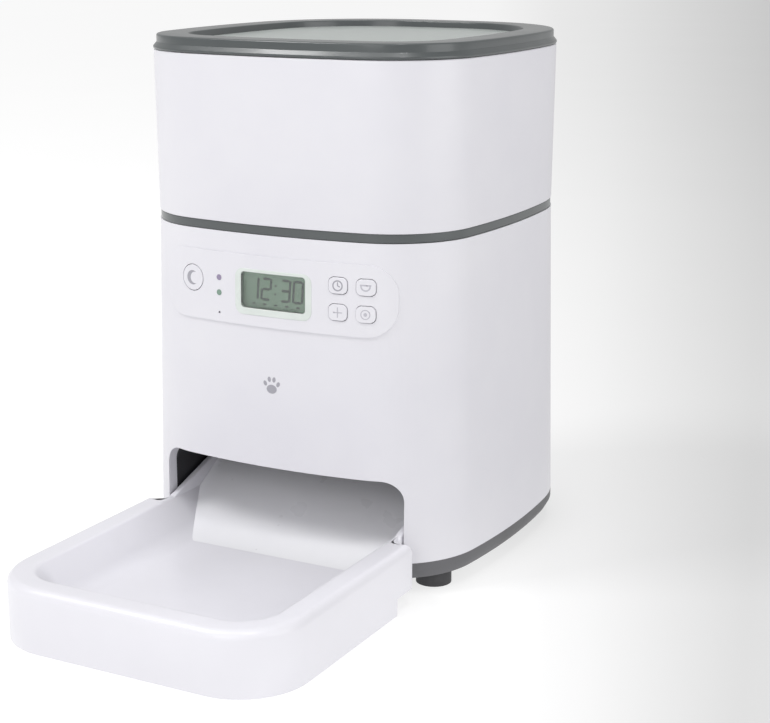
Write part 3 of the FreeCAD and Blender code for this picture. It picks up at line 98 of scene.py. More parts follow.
# eight arcs that meet smoothly, counter-clockwise from the front: centre, radius, two angles, steps
def planArcs():
    p = plan
    bows = [
        (Vector((0, p["frontBow"] - p["frontReach"])), p["frontBow"]),
        (Vector((p["halfWidth"] - p["sideBow"], 0)), p["sideBow"]),
        (Vector((0, p["backReach"] - p["backBow"])), p["backBow"]),
        (Vector((p["sideBow"] - p["halfWidth"], 0)), p["sideBow"]),
    ]
    corners = [p["frontCorner"], p["backCorner"], p["backCorner"], p["frontCorner"]]
    centres = []
    for turn, corner in enumerate(corners):
        near, far = bows[turn], bows[(turn + 1) % 4]
        centres.append(circleMeeting(near[0], near[1] - corner, far[0], far[1] - corner))
    arcs = []
    for turn, (centre, radius) in enumerate(bows):
        before, after = centres[turn - 1] - centre, centres[turn] - centre
        following = centres[turn] - bows[(turn + 1) % 4][0]
        for middle, size, start, end, steps in (
            (centre, radius, before, after, p["bowSteps"]),
            (centres[turn], corners[turn], after, following, p["cornerSteps"]),
        ):
            first, last = math.atan2(start.y, start.x), math.atan2(end.y, end.x)
            if last < first:
                last += 2 * math.pi
            arcs.append((middle, size, first, last, steps))
    return arcs


housingArcs = planArcs()


def planRing(inset, z):   # points round the housing's outline, moved in by inset
    ring = []
    for centre, radius, start, end, steps in housingArcs:
        for step in range(steps):
            angle = start + (end - start) * step / steps
            reach = radius - inset
            ring.append(Vector((centre.x + reach * math.cos(angle),
                                centre.y + reach * math.sin(angle) + plan["middleY"], z)))
    return ring


def frontY(x, z, proud):   # the y of the base's front skin at x and z, moved out by proud
    out = plan["flare"] * (baseHigh.z - z) / (baseHigh.z - baseLow.z) + proud
    slack = 1e-6   # radians, so that no x falls between two arcs
    for index in (0, 1, 7):   # the front bow and the corners on its two sides
        centre, radius, start, end, _ = housingArcs[index]
        reach = radius + out
        if abs(x - centre.x) >= reach:
            continue
        y = centre.y - math.sqrt(reach ** 2 - (x - centre.x) ** 2)
        angle = math.atan2(y - centre.y, x - centre.x)
        if any(start - slack <= angle + turn <= end + slack for turn in (0, 2 * math.pi)):
            return y + plan["middleY"]
    raise ValueError(f"x {x} isn't on the front")


def arcAt(corner, before, after, radius, steps):   # the arc that rounds a corner between two points
    u, v = (before - corner).normalized(), (after - corner).normalized()
    half = math.acos(max(-1, min(1, u.dot(v)))) / 2
    centre = corner + (u + v).normalized() * (radius / math.sin(half))
    reach = radius / math.tan(half)
    start, end = corner + u * reach - centre, corner + v * reach - centre
    first = math.atan2(start.y, start.x)
    sweep = (math.atan2(end.y, end.x) - first + math.pi) % (2 * math.pi) - math.pi
    angles = [first + sweep * step / steps for step in range(steps + 1)]
    return [centre + Vector((math.cos(angle), math.sin(angle))) * radius for angle in angles]


def roundCorners(points, radii, steps=6, closed=True):   # one radius for each corner, 0 for a sharp one
    out = []
    count = len(points)
    for index, (point, radius) in enumerate(zip(points, radii)):
        corner = Vector(point)
        if radius <= 0 or (not closed and index in (0, count - 1)):
            out.append(corner)
            continue
        before, after = Vector(points[index - 1]), Vector(points[(index + 1) % count])
        out += arcAt(corner, before, after, radius, steps)
    return out


def smoothMesh(mesh, sharpAngle):
    for polygon in mesh.polygons:
        polygon.use_smooth = True
    mesh.set_sharp_from_angle(angle=math.radians(sharpAngle))


def linkPiece(name, mesh):
    piece = bpy.data.objects.new(name, mesh)
    bpy.context.scene.collection.objects.link(piece)
    return piece


def makeMesh(name, verts, faces, material, sharpAngle=40, recalc=True):
    mesh = bpy.data.meshes.new(name)
    bm = bmesh.new()
    made = [bm.verts.new(v) for v in verts]
    for face in faces:
        corners = [made[i] for i in face]
        try:
            bm.faces.new(corners)
        except ValueError:   # the same face twice
            pass
    bmesh.ops.remove_doubles(bm, verts=bm.verts, dist=mergeDistance)
    bmesh.ops.dissolve_degenerate(bm, edges=bm.edges, dist=mergeDistance / 10)
    if recalc:
        bmesh.ops.recalc_face_normals(bm, faces=bm.faces)
    bm.to_mesh(mesh)
    bm.free()
    smoothMesh(mesh, sharpAngle)
    mesh.materials.append(material)
    return linkPiece(name, mesh)


# a skin over rings that have the same number of points each
def loftRings(name, rings, material, closed=True, capped=False):
    size = len(rings[0])
    verts = [point for ring in rings for point in ring]
    faces = []
    for index in range(len(rings) if closed else len(rings) - 1):
        low, high = index * size, (index + 1) % len(rings) * size
        for step in range(size):
            following = (step + 1) % size
            faces.append((low + step, low + following, high + following, high + step))
    if capped:
        faces.append(tuple(range(size - 1, -1, -1)))
        faces.append(tuple(range((len(rings) - 1) * size, len(rings) * size)))
    return makeMesh(name, verts, faces, material)


def sweepPlan(name, profile, material, **options):   # a profile of (inset, z) round the housing's outline
    return loftRings(name, [planRing(inset, z) for inset, z in profile], material, **options)


def finishPiece(piece, body, replaced=()):
    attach(piece, body)
    if replaced:
        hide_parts(*replaced)


def startMaterial(name):
    material = bpy.data.materials.new(name)
    material.use_nodes = True
    tree = material.node_tree
    tree.nodes.clear()
    return material, tree, addNode(tree, "ShaderNodeTexCoord").outputs["Object"]


def closeMaterial(tree, links, **values):   # values are shader inputs, with _ for each space
    shader = addNode(tree, "ShaderNodeBsdfPrincipled",
                     {key.replace("_", " "): value for key, value in values.items()}, links)
    addNode(tree, "ShaderNodeOutputMaterial", None, {"Surface": shader})


def setStops(ramp, *stops):   # stops are (position, hex code)
    for element, (position, code) in zip(ramp.color_ramp.elements, stops):
        element.position = position
        element.color = hexColor(code)


# injection-moulded plastic: two close tints in soft clouds, faint rubs in the gloss, a spark-eroded grain
# that is under 0.1 mm in a real moulding and is drawn coarser here, so that it shows
def mouldedPlastic(name, deep, light, rough, grain, relief, coat=0.0, cloudSize=70, ior=1.54):
    material, tree, place = startMaterial(name)
    rubSize, rubDepth, coatRough = 24, 0.03, 0.12
    cloud = addNode(tree, "ShaderNodeTexNoise",
                    {"Scale": 1 / (cloudSize * mm), "Detail": 4.0, "Roughness": 0.55}, {"Vector": place})
    tint = addNode(tree, "ShaderNodeValToRGB", None, {"Fac": cloud})
    setStops(tint, (0.35, deep), (0.65, light))
    rub = addNode(tree, "ShaderNodeTexNoise", {"Scale": 1 / (rubSize * mm), "Detail": 3.0},
                  {"Vector": place})
    gloss = addNode(tree, "ShaderNodeMapRange",
                    {"From Min": 0.3, "From Max": 0.7, "To Min": rough - rubDepth,
                     "To Max": rough + rubDepth},
                    {"Value": rub})
    skin = addNode(tree, "ShaderNodeTexNoise", {"Scale": 1 / (grain * mm), "Detail": 2.0},
                   {"Vector": place})
    bump = addNode(tree, "ShaderNodeBump", {"Strength": 0.5, "Distance": relief * mm}, {"Height": skin})
    closeMaterial(tree, {"Base Color": tint, "Roughness": gloss, "Normal": bump},
                  IOR=ior, Coat_Weight=coat, Coat_Roughness=coatRough)
    return material


# machined, drawn or plated metal: fine lines along one axis, drawn coarser than they are so that they show
def metal(name, deep, light, rough, stretch, pitch, relief=0.02):
    material, tree, place = startMaterial(name)
    turned = addNode(tree, "ShaderNodeMapping", {"Scale": stretch}, {"Vector": place})
    lines = addNode(tree, "ShaderNodeTexNoise", {"Scale": 1 / (pitch * mm), "Detail": 5.0},
                    {"Vector": turned})
    tint = addNode(tree, "ShaderNodeValToRGB", None, {"Fac": lines})
    setStops(tint, (0, deep), (1, light))
    gloss = addNode(tree, "ShaderNodeMapRange", {"To Min": rough - 0.06, "To Max": rough + 0.08},
                    {"Value": lines})
    bump = addNode(tree, "ShaderNodeBump", {"Strength": 0.3, "Distance": relief * mm}, {"Height": lines})
    closeMaterial(tree, {"Base Color": tint, "Roughness": gloss, "Normal": bump}, Metallic=1.0)
    return material


# moulded acrylic that lets light through: slight clouding, and flow lines in the skin
def clearPlastic(name, deep, light, rough, clearness, cloudSize):
    material, tree, place = startMaterial(name)
    flowSize, flowRelief, ior = 1.5, 0.03, 1.49
    cloud = addNode(tree, "ShaderNodeTexNoise", {"Scale": 1 / (cloudSize * mm), "Detail": 3.0},
                    {"Vector": place})
    tint = addNode(tree, "ShaderNodeValToRGB", None, {"Fac": cloud})
    setStops(tint, (0, deep), (1, light))
    gloss = addNode(tree, "ShaderNodeMapRange", {"To Min": rough * 0.8, "To Max": rough * 1.25 + 0.01},
                    {"Value": cloud})
    flow = addNode(tree, "ShaderNodeTexNoise", {"Scale": 1 / (flowSize * mm), "Detail": 1.0},
                   {"Vector": place})
    bump = addNode(tree, "ShaderNodeBump", {"Strength": 0.1, "Distance": flowRelief * mm},
                   {"Height": flow})
    closeMaterial(tree, {"Base Color": tint, "Roughness": gloss, "Normal": bump},
                  Transmission_Weight=clearness, IOR=ior)
    return material


# pad-printed ink: matt, with the fine dots of the printing pad
def printedInk(name, deep, light):
    material, tree, place = startMaterial(name)
    dotSize, inkRelief, inkRough = 0.4, 0.01, 0.55
    dots = addNode(tree, "ShaderNodeTexNoise", {"Scale": 1 / (dotSize * mm), "Detail": 2.0},
                   {"Vector": place})
    tint = addNode(tree, "ShaderNodeValToRGB", None, {"Fac": dots})
    setStops(tint, (0, deep), (1, light))
    bump = addNode(tree, "ShaderNodeBump", {"Strength": 0.2, "Distance": inkRelief * mm},
                   {"Height": dots})
    closeMaterial(tree, {"Base Color": tint, "Normal": bump},
                  Roughness=inkRough)
    return material


# two tinted lamp lenses in one moulding: violet above, green below
def lampMaterial():
    material, tree, place = startMaterial("tintedLampAcrylic")
    low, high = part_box("indicator_lenses")
    split = addNode(tree, "ShaderNodeSeparateXYZ", None, {"Vector": place})
    share = addNode(tree, "ShaderNodeMapRange", {"From Min": low.z, "From Max": high.z},
                    {"Value": split.outputs["Z"]})
    tint = addNode(tree, "ShaderNodeValToRGB", None, {"Fac": share})
    setStops(tint, (0.45, "#8fae9d"), (0.55, "#a79bb8"))
    speck = addNode(tree, "ShaderNodeTexNoise", {"Scale": 1 / (0.5 * mm)}, {"Vector": place})
    gloss = addNode(tree, "ShaderNodeMapRange", {"To Min": 0.1, "To Max": 0.25}, {"Value": speck})
    closeMaterial(tree, {"Base Color": tint, "Roughness": gloss},
                  Transmission_Weight=0.3)
    return material


# name, deep tint, light tint, roughness, grain and relief in mm; then coat, cloud size in mm and IOR
mouldings = {
    # housing and tank: clean satin white with a trace of lavender, fine spark grain
    "whiteAbs": ("satinWhiteAbs", "#dad9df", "#dedde2", 0.36, 0.5, 0.01),
    # tray: polished for washing, so smoother than the housing; its tint is kept lighter than the housing's
    # as painted light, to balance the lamps
    "trayAbs": ("polishedWhiteAbs", "#e2e1e7", "#e5e4ea", 0.34, 1.6, 0.002, 0.2),
    # ramp: the tray's plastic in a glossier tint, made lighter as painted light because little light reaches
    # into the bay
    "rampAbs": ("rampWhiteAbsPaintedLight", "#f0f0f4", "#f3f3f6", 0.3, 1.6, 0.002, 0.2),
    # lid and tank base: mid grey with a soft sheen
    "greyAbs": ("satinGreyAbs", "#454a4b", "#4b5051", 0.34, 0.45, 0.012, 0.4),
    # plinth and battery door: lighter grey, matt, with a grain that a thumb can feel
    "plinthAbs": ("grainedGreyAbs", "#575759", "#5e5e61", 0.5, 0.55, 0.04),
    # bay and chute: a dark, waxy liner, made near black as painted shade so that the mouth stays dark
    "darkPp": ("darkLinerAndPaintedShadePp", "#1d1d20", "#26262a", 0.55, 0.6, 0.04),
    # hidden mouldings: unpainted, warm off-white
    "naturalAbs": ("naturalAbs", "#cfcec8", "#d9d8d2", 0.45, 0.7, 0.03),
    # gears: waxy, creamy acetal
    "acetal": ("acetalResin", "#e2dfd5", "#ebe8de", 0.38, 0.6, 0.01, 0.1, 20, 1.48),
    # wipers and gasket: soft milky grey that gathers dust
    "silicone": ("milkySilicone", "#b9bab7", "#c6c7c4", 0.6, 0.8, 0.02, 0.0, 15, 1.43),
    # feet: dark and dull
    "rubber": ("mouldedRubber", "#3a3a3c", "#454547", 0.7, 0.6, 0.06, 0.0, 12, 1.52),
    # switches, speaker and inlet: black with a low gloss
    "blackAbs": ("blackAbs", "#141416", "#1c1c1f", 0.4, 0.5, 0.02),
    # boards: glossy green lacquer over woven glass
    "solderMask": ("greenSolderMask", "#10452a", "#155235", 0.3, 1.2, 0.02, 0.4, 25),
    # cells: dark shrunk sleeve with a gloss
    "cellJacket": ("printedCellJacket", "#22252b", "#30343c", 0.28, 3, 0.02, 0.3, 30),
    # display frame: pale green, polished
    "displayFrame": ("paleGreenAbs", "#cdd4cf", "#d6dcd8", 0.28, 0.5, 0.01, 0.3, 20),
    # display glass: grey-green reflector seen through a polariser
    "lcdGlass": ("reflectiveLcd", "#7e9d83", "#89a88e", 0.22, 0.35, 0.008, 0.4, 12),
    # desiccant pouch: fibrous unbleached paper
    "pouch": ("nonwovenPaper", "#d8d5cc", "#e6e3da", 0.9, 0.35, 0.12, 0.0, 6),
}
finishes = {key: mouldedPlastic(*values) for key, values in mouldings.items()}
finishes.update({
    # lid window: sand-frosted, so that it shows light but no shapes
    "frosted": clearPlastic("frostedAcrylic", "#c6cdca", "#d3d9d6", 0.3, 0.35, 40),
    # display lens: clear and polished
    "clear": clearPlastic("clearAcrylic", "#e9efec", "#f4f8f6", 0.05, 0.96, 20),
    # drawn cans and screws: cool, slightly cloudy zinc
    "zincSteel": metal("zincPlatedSteel", "#9c9fa3", "#c4c7ca", 0.32, (1, 1, 6), 2.5),
    # shafts: rings from the lathe
    "turnedSteel": metal("turnedSteel", "#8f9296", "#b9bcc0", 0.25, (1, 1, 14), 1.2),
    # bush: oily brown-gold with a porous grain
    "bronze": metal("sinteredBronze", "#8a6a3a", "#b08b52", 0.42, (1, 1, 1), 0.8, 0.04),
    # battery springs: bright drawn wire
    "springSteel": metal("springSteelWire", "#a6a8aa", "#cfd1d2", 0.22, (6, 1, 6), 1.0),
    "inkGrey": printedInk("greyInk", "#98979f", "#a6a5ad"),
    "inkPale": printedInk("paleGreyInk", "#b1b0b8", "#bfbec6"),
    # display segments: dark green-grey, as switched crystal looks
    "lcdInk": printedInk("lcdSegmentInk", "#34463b", "#3d5044"),
    "lamps": lampMaterial(),
})
print("materials:", len(finishes))

# CAD nodes that keep their shape: the finish of each, and the radius in mm of its moulded edges
nodeFinish = {
    "whiteAbs": ["base_housing", "control_panel", "feed_button", "key_clock", "key_meal", "key_portion",
                 "key_record"],
    "plinthAbs": ["bottom_cover", "battery_door"],
    "greyAbs": ["tank_base", "desiccant_box", "desiccant_cover"],
    "darkPp": ["bay_liner", "food_chute", "battery_box"],
    "displayFrame": ["display_frame"],
    "clear": ["display_lens"],
    "lamps": ["indicator_lenses"],
    "lcdGlass": ["lcd_glass"],
    "naturalAbs": ["lcd_backlight", "tank_funnel", "rotor_cup", "outlet_guard", "portion_rotor",
                   "gear_plate"],
    "silicone": ["rotor_wipers", "lid_gasket"],
    "rubber": ["foot_front_left", "foot_front_right", "foot_back_left", "foot_back_right"],
    "acetal": ["rotor_cap", "drive_gear", "motor_pinion"],
    "turnedSteel": ["rotor_shaft", "motor_output_shaft"],
    "zincSteel": ["motor_can", "motor_gearbox", "mechanism_screws", "motor_screws", "board_screws",
                  "battery_contacts", "microphone"],
    "bronze": ["shaft_bush"],
    "solderMask": ["control_board", "main_board"],
    "blackAbs": ["position_switch", "key_switches", "speaker", "power_inlet"],
    "cellJacket": ["battery_cells"],
    "pouch": ["desiccant_pouch"],
}
edgeRadius = {
    "base_housing": 0.7, "control_panel": 0.25, "feed_button": 0.4, "key_clock": 0.35, "key_meal": 0.35,
    "key_portion": 0.35, "key_record": 0.35, "bottom_cover": 0.6, "battery_door": 0.5, "tank_base": 0.4,
    "display_frame": 0.4, "bay_liner": 0.4, "food_chute": 0.4, "portion_rotor": 0.5, "rotor_cup": 0.5,
    "desiccant_box": 0.4, "tank_funnel": 0.5,
}
softening = {"merge": 2e-6, "flatAngle": 0.3, "edgeAngle": 40, "splitAngle": 35, "edgeSegments": 3}


def softenNode(node, radius, s):   # joins its loose triangles, rounds its edges, smooths the rest
    for polygon in node.data.polygons:
        polygon.use_smooth = True
    node.modifiers.new("joined", "WELD").merge_threshold = s["merge"]
    if radius:
        flat = node.modifiers.new("flat", "DECIMATE")
        flat.decimate_type = "DISSOLVE"
        flat.angle_limit = math.radians(s["flatAngle"])
        bevel = node.modifiers.new("edge", "BEVEL")
        bevel.width = radius * mm
        bevel.segments = s["edgeSegments"]
        bevel.limit_method = "ANGLE"
        bevel.angle_limit = math.radians(s["edgeAngle"])
        bevel.use_clamp_overlap = True
    split = node.modifiers.new("crisp", "EDGE_SPLIT")
    split.split_angle = math.radians(s["splitAngle"])
    split.use_edge_sharp = False
    even = node.modifiers.new("even", "WEIGHTED_NORMAL")
    even.mode = "FACE_AREA"
    even.keep_sharp = True


for finish, names in nodeFinish.items():
    for name in names:
        nodes[name].data.materials.clear()
        nodes[name].data.materials.append(finishes[finish])
        softenNode(nodes[name], edgeRadius.get(name, 0), softening)
print("CAD nodes finished")

tankSettings = {"wall": 2.6 * mm, "spread": 1 * mm, "lowEdge": 0.5 * mm, "rimEdge": 0.9 * mm}


def makeTankShell(s):
    low, high = tankLow.z, tankHigh.z
    corners = [(0, low), (-s["spread"], high), (s["wall"] - s["spread"], high), (s["wall"], low)]
    profile = roundCorners(corners, [s["lowEdge"], s["rimEdge"], s["rimEdge"], s["lowEdge"]])
    tank = sweepPlan("tankShell", profile, finishes["whiteAbs"])
    finishPiece(tank, "tank", ["tank_shell"])


makeTankShell(tankSettings)
print("tank made")

lidSettings = {
    "overhang": 1.2 * mm, "waist": 1.9 * mm, "beadHigh": 1.3 * mm, "beadSlope": 2.3 * mm,
    "footEdge": (0.3 * mm, 0.5 * mm), "opening": 19.5 * mm, "openingLean": 1 * mm, "ledge": 4 * mm,
    "ledgeHigh": 2.7 * mm, "skirtIn": 3.6 * mm, "skirt": 2.4 * mm, "skirtHigh": 9.5 * mm,
    # a radius for each corner of the frame's section, from the foot of its outer face, over the top
    "radii": (0.2, 0.3, 0.9, 0.8, 1.1, 0.8, 0.3, 0.4, 0.3, 0.4, 0.5, 0.5, 0.2),
    "windowGap": 0.4 * mm, "windowThick": 1.8 * mm, "windowEdge": 0.5 * mm, "windowInner": 20 * mm,
}


# a frame with a waist above a bead, a sunk ledge for the window, and a skirt that plugs into the tank
def makeLid(s):
    top, skirtLow = lidHigh.z, lidLow.z
    low = skirtLow + s["skirtHigh"]
    ledgeTop = low + s["ledgeHigh"]
    out = -s["overhang"]
    footIn, footUp = s["footEdge"]
    waist, waistLow = out + s["waist"], low + s["beadHigh"] + s["beadSlope"]
    ledgeIn, skirtIn, skirtOut = s["opening"] + s["ledge"], s["skirtIn"] + s["skirt"], s["skirtIn"]
    corners = [
        (out + footIn, low), (out, low + footUp), (out, low + s["beadHigh"]), (waist, waistLow),
        (waist, top), (s["opening"] - s["openingLean"], top), (s["opening"], ledgeTop),
        (ledgeIn, ledgeTop), (ledgeIn, low), (skirtIn, low), (skirtIn, skirtLow), (skirtOut, skirtLow),
        (skirtOut, low),
    ]
    profile = roundCorners(corners, [radius * mm for radius in s["radii"]])
    finishPiece(sweepPlan("lidFrame", profile, finishes["greyAbs"]), "lid", ["lid_frame"])
    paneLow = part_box("lid_window")[0].z
    paneTop = paneLow + s["windowThick"]
    edge = s["opening"] + s["windowGap"]
    inner = edge + s["windowInner"]
    section = roundCorners([(inner, paneLow), (edge, paneLow), (edge, paneTop), (inner, paneTop)],
                           [s["windowEdge"]] * 4, closed=False)
    pane = sweepPlan("lidWindow", section, finishes["frosted"], closed=False, capped=True)
    finishPiece(pane, "lid", ["lid_window"])


makeLid(lidSettings)
print("lid made")

traySettings = {
    "bullnose": 5 * mm, "bullnoseSteps": 10, "skirt": 2.8 * mm, "rim": 14.5 * mm, "rimHigh": 34.6 * mm,
    "slope": 16 * mm, "rimRadius": 3.5 * mm, "floorRadius": 16 * mm, "floorIn": 8 * mm, "wallSteps": 8,
    "frontCorner": 36.6 * mm, "rearCorner": 3 * mm, "rearCornerLeast": 0.4 * mm, "stepCorner": 0.15 * mm,
    "tongueHalf": 76 * mm, "tongueCorner": 1.5 * mm, "tongueRearCorner": 6 * mm, "tongueInset": 1.5 * mm,
    "step": 118.4 * mm, "stepHigh": 9.5 * mm, "wideBack": 99 * mm, "tongueLow": 13.2 * mm,
    "basinFloor": 16 * mm, "basinBack": 30 * mm, "basinCorner": 14 * mm, "basinCornerLeast": 1.5 * mm,
    "cornerSteps": (16, 1, 5, 4, 6),   # arc steps at each corner of one side, front to back
}


# a closed loop that mirrors corners (x, y, radius) of one side; a straight corner spreads its points
def trayLoop(side, steps):
    corners = [(x, y, radius, count) for (x, y, radius), count in zip(side, steps)]
    corners += [(-x, y, radius, count) for x, y, radius, count in reversed(corners)]
    straight = math.radians(179)
    points = []
    for index, (x, y, radius, count) in enumerate(corners):
        corner, before = Vector((x, y)), Vector(corners[index - 1][:2])
        after = Vector(corners[(index + 1) % len(corners)][:2])
        u, v = (before - corner).normalized(), (after - corner).normalized()
        if math.acos(max(-1, min(1, u.dot(v)))) > straight:
            for step in range(count + 1):
                share = step / count
                points.append(corner + u * radius * (1 - share) + v * radius * share)
        else:
            points += arcAt(corner, before, after, radius, count)
    return points


def trayOuter(s, inset):   # the outline from above: wide dish in front, narrower tongue behind
    half, front = trayHigh.x, trayLow.y
    back, step = plan["middleY"] - s["wideBack"], plan["middleY"] - s["step"]
    small = min(inset, s["tongueInset"])
    tongue, tongueBack = s["tongueHalf"] - small, trayHigh.y - small
    return trayLoop([
        (half - inset, front + inset, s["frontCorner"] - inset),
        (half - inset, step, s["stepCorner"]),
        (half - inset, back - inset, max(s["rearCorner"] - inset, s["rearCornerLeast"])),
        (tongue, back - inset, s["tongueCorner"] + small),
        (tongue, tongueBack, s["tongueRearCorner"] - small),
    ], s["cornerSteps"])


def trayBasin(s, grow):   # the basin's outline, grown by grow, with a point for each of the outer one
    half = trayHigh.x - s["rim"] + grow
    front, rear = trayLow.y + s["rim"] - grow, plan["middleY"] - s["basinBack"] + grow
    back, least = plan["middleY"] - s["wideBack"], s["basinCornerLeast"]
    return trayLoop([
        (half, front, max(s["frontCorner"] - s["rim"] + grow, least)),
        (half, plan["middleY"] - s["step"], s["stepCorner"]),
        (half, back - 6 * mm, 2.5 * mm),   # these two only hold points on the straight side
        (half, back + 2 * mm, 2.0 * mm),
        (half, rear, max(s["basinCorner"] + grow, least)),
    ], s["cornerSteps"])


def makeTray(s):
    top = s["rimHigh"]
    back, step = plan["middleY"] - s["wideBack"], plan["middleY"] - s["step"]

    def level(points, z):
        return [Vector((p.x, p.y, z)) for p in points]

    def skirtLow(p, lift):   # on the ground in front, stepped up at the rear, higher on the tongue
        onTongue = abs(p.x) < s["tongueHalf"] + 0.5 * mm and p.y > back - 6 * mm
        if p.y > back + 0.2 * mm or onTongue:
            return s["tongueLow"] + lift * 0.2
        return (s["stepHigh"] if p.y > step else 0) + lift

    rings = [level(trayOuter(s, s["skirt"]), s["tongueLow"])]
    for inset, lift in ((s["skirt"], 0.5 * mm), (s["skirt"] - 0.5 * mm, 0), (0.5 * mm, 0),
                        (0.12 * mm, 0.15 * mm), (0, 0.5 * mm)):   # the skirt's rounded lower edge
        rings.append([Vector((p.x, p.y, skirtLow(p, lift))) for p in trayOuter(s, inset)])
    for index in range(s["bullnoseSteps"] + 1):
        angle = index / s["bullnoseSteps"] * math.pi / 2
        inset = s["bullnose"] * (1 - math.cos(angle))
        rings.append(level(trayOuter(s, inset), top - s["bullnose"] * (1 - math.sin(angle))))
    wall = roundCorners([(4 * mm, top), (0, top), (-s["slope"], s["basinFloor"]),
                         (-s["slope"] - s["floorIn"], s["basinFloor"])],
                        [0, s["rimRadius"], s["floorRadius"], 0], s["wallSteps"], closed=False)
    rings += [level(trayBasin(s, grow), z) for grow, z in wall[1:]]
    tray = loftRings("foodTray", rings, finishes["trayAbs"], closed=False, capped=True)
    finishPiece(tray, "tray", ["food_tray"])


makeTray(traySettings)

rampSettings = {
    "half": 72.2 * mm, "foot": 100 * mm, "footLong": 28 * mm, "footRadius": 45 * mm, "top": 30.3 * mm,
    "back": 24.1 * mm, "high": 55 * mm, "wall": 2.6 * mm, "topEdge": 2 * mm, "backEdge": 1 * mm,
    "innerEdge": 0.4 * mm, "cheek": 76 * mm, "cheekFront": 95 * mm, "cheekRim": 34.2 * mm,
    "cheekRadii": (0, 3 * mm, 3 * mm, 2 * mm, 1 * mm), "cheekEdge": 1.2 * mm, "overlap": 0.3 * mm,
}


# an outline in y and z, run across from left to right, with the edges of its two ends rounded
def extrudeAcross(name, outline, left, right, material, edge=0.0):
    count = len(outline)
    verts = [Vector((x, y, z)) for x in (left, right) for y, z in outline]
    faces = [tuple(range(count)), tuple(range(2 * count - 1, count - 1, -1))]
    for index in range(count):
        following = (index + 1) % count
        faces.append((index, following, count + following, count + index))
    piece = makeMesh(name, verts, faces, material)
    if edge:
        bm = bmesh.new()
        bm.from_mesh(piece.data)
        rims = [e for e in bm.edges if abs(e.verts[0].co.x - e.verts[1].co.x) < mergeDistance / 10]
        bmesh.ops.bevel(bm, geom=rims, offset=edge, segments=4, affect="EDGES", profile=0.5,
                        clamp_overlap=True)
        bm.to_mesh(piece.data)
        bm.free()
        smoothMesh(piece.data, 50)
    return piece


def makeRamp(s):   # the ramp that food slides down, between two cheeks that stand inside the bay
    middle = plan["middleY"]
    floor, low = traySettings["basinFloor"], traySettings["tongueLow"]
    foot, top, back = middle - s["foot"], middle - s["top"], middle - s["back"]
    face, under = floor - 0.1 * mm, s["high"] - s["wall"]   # the foot dips just under the dish's floor
    lean = s["wall"] * math.hypot(s["foot"] - s["top"], s["high"] - floor) / (s["high"] - floor)
    corners = [(foot - s["footLong"], face), (foot, face), (top, s["high"]), (back, s["high"]),
               (back, under), (top + lean * 0.4, under), (foot + lean, low), (foot - s["footLong"], low)]
    radii = [0, s["footRadius"], s["topEdge"], s["backEdge"]] + [s["innerEdge"]] * 3 + [0]
    # the ramp's lighter finish is painted light that makes up for the dim bay
    ramp = extrudeAcross("trayRamp", roundCorners(corners, radii, 10), -s["half"], s["half"],
                         finishes["rampAbs"])
    finishPiece(ramp, "tray")
    front = middle - s["cheekFront"]
    shape = roundCorners([(front, low), (front, s["cheekRim"]), (top, s["high"]), (back, s["high"]),
                          (back, low)], s["cheekRadii"])
    for side, name in ((-1, "trayCheekLeft"), (1, "trayCheekRight")):
        ends = sorted((side * (s["half"] - s["overlap"]), side * s["cheek"]))
        cheek = extrudeAcross(name, shape, *ends, finishes["trayAbs"], s["cheekEdge"])
        finishPiece(cheek, "tray")


makeRamp(rampSettings)
print("tray made")

inkThick = 0.04 * mm


# flat outlines in x and z laid on a skin as thin ink; skinY gives the skin's y
def printPatch(name, outlines, skinY, ink, body):
    verts, faces = [], []
    for outline in outlines:
        start, count = len(verts), len(outline)
        for lift in (inkThick, 0):
            verts += [Vector((x, skinY(x, z) - lift, z)) for x, z in outline]
        faces.append(tuple(range(start, start + count)))
        faces.append(tuple(range(start + 2 * count - 1, start + count - 1, -1)))
        for index in range(count):
            here, following = start + index, start + (index + 1) % count
            faces.append((here, count + here, count + following, following))
    finishPiece(makeMesh(name, verts, faces, finishes[ink], 30), body)


def disc(x, z, width, height, count=28, turn=0.0):
    out = []
    for index in range(count):
        angle = 2 * math.pi * index / count
        u, v = width / 2 * math.cos(angle), height / 2 * math.sin(angle)
        out.append((x + u * math.cos(turn) - v * math.sin(turn),
                    z + u * math.sin(turn) + v * math.cos(turn)))
    return out


def bar(x0, z0, x1, z1, width):   # a straight stroke with pointed ends
    along = Vector((x1 - x0, z1 - z0)).normalized()
    side = Vector((-along.y, along.x)) * width / 2
    tip = along * width / 2
    a, b = Vector((x0, z0)), Vector((x1, z1))
    return [tuple(p) for p in (a + side, a - tip, a - side, b - side, b + tip, b + side)]


def strip(x, z, half, width, count=8):   # a level stroke in short pieces, so that it bends with the skin
    cuts = [x - half + 2 * half * index / count for index in range(count + 1)]
    return [[(a, z - width / 2), (a, z + width / 2), (b, z + width / 2), (b, z - width / 2)]
            for a, b in zip(cuts, cuts[1:])]


def ringParts(x, z, outer, inner, start=0, end=360, count=32):   # a ring or part of one, in short pieces
    parts = []
    steps = int(count * (end - start) / 360)
    for index in range(steps):
        a, b = (math.radians(start + (end - start) * place / steps) for place in (index, index + 1))
        parts.append([(x + r * math.cos(t), z + r * math.sin(t))
                      for r, t in ((inner, a), (outer, a), (outer, b), (inner, b))])
    return parts


displaySettings = {
    "time": "12:30", "digitHigh": 11.5 * mm, "digitWide": 5.6 * mm, "stroke": 1.5 * mm, "pitch": 8.0 * mm,
    "slant": 0.08, "gap": 0.35 * mm, "lift": 0.6 * mm, "colon": 1.3 * mm, "colonIn": 0.6 * mm,
    "meals": 5, "mealFirst": (6 * mm, 2 * mm), "mealPitch": 7 * mm, "mealMark": (2.4 * mm, 1.1 * mm),
}
segmentsOf = {"0": "abcdef", "1": "bc", "2": "abged", "3": "abgcd", "4": "fgbc", "5": "afgcd",
              "6": "afgedc", "7": "abc", "8": "abcdefg", "9": "abcdfg"}


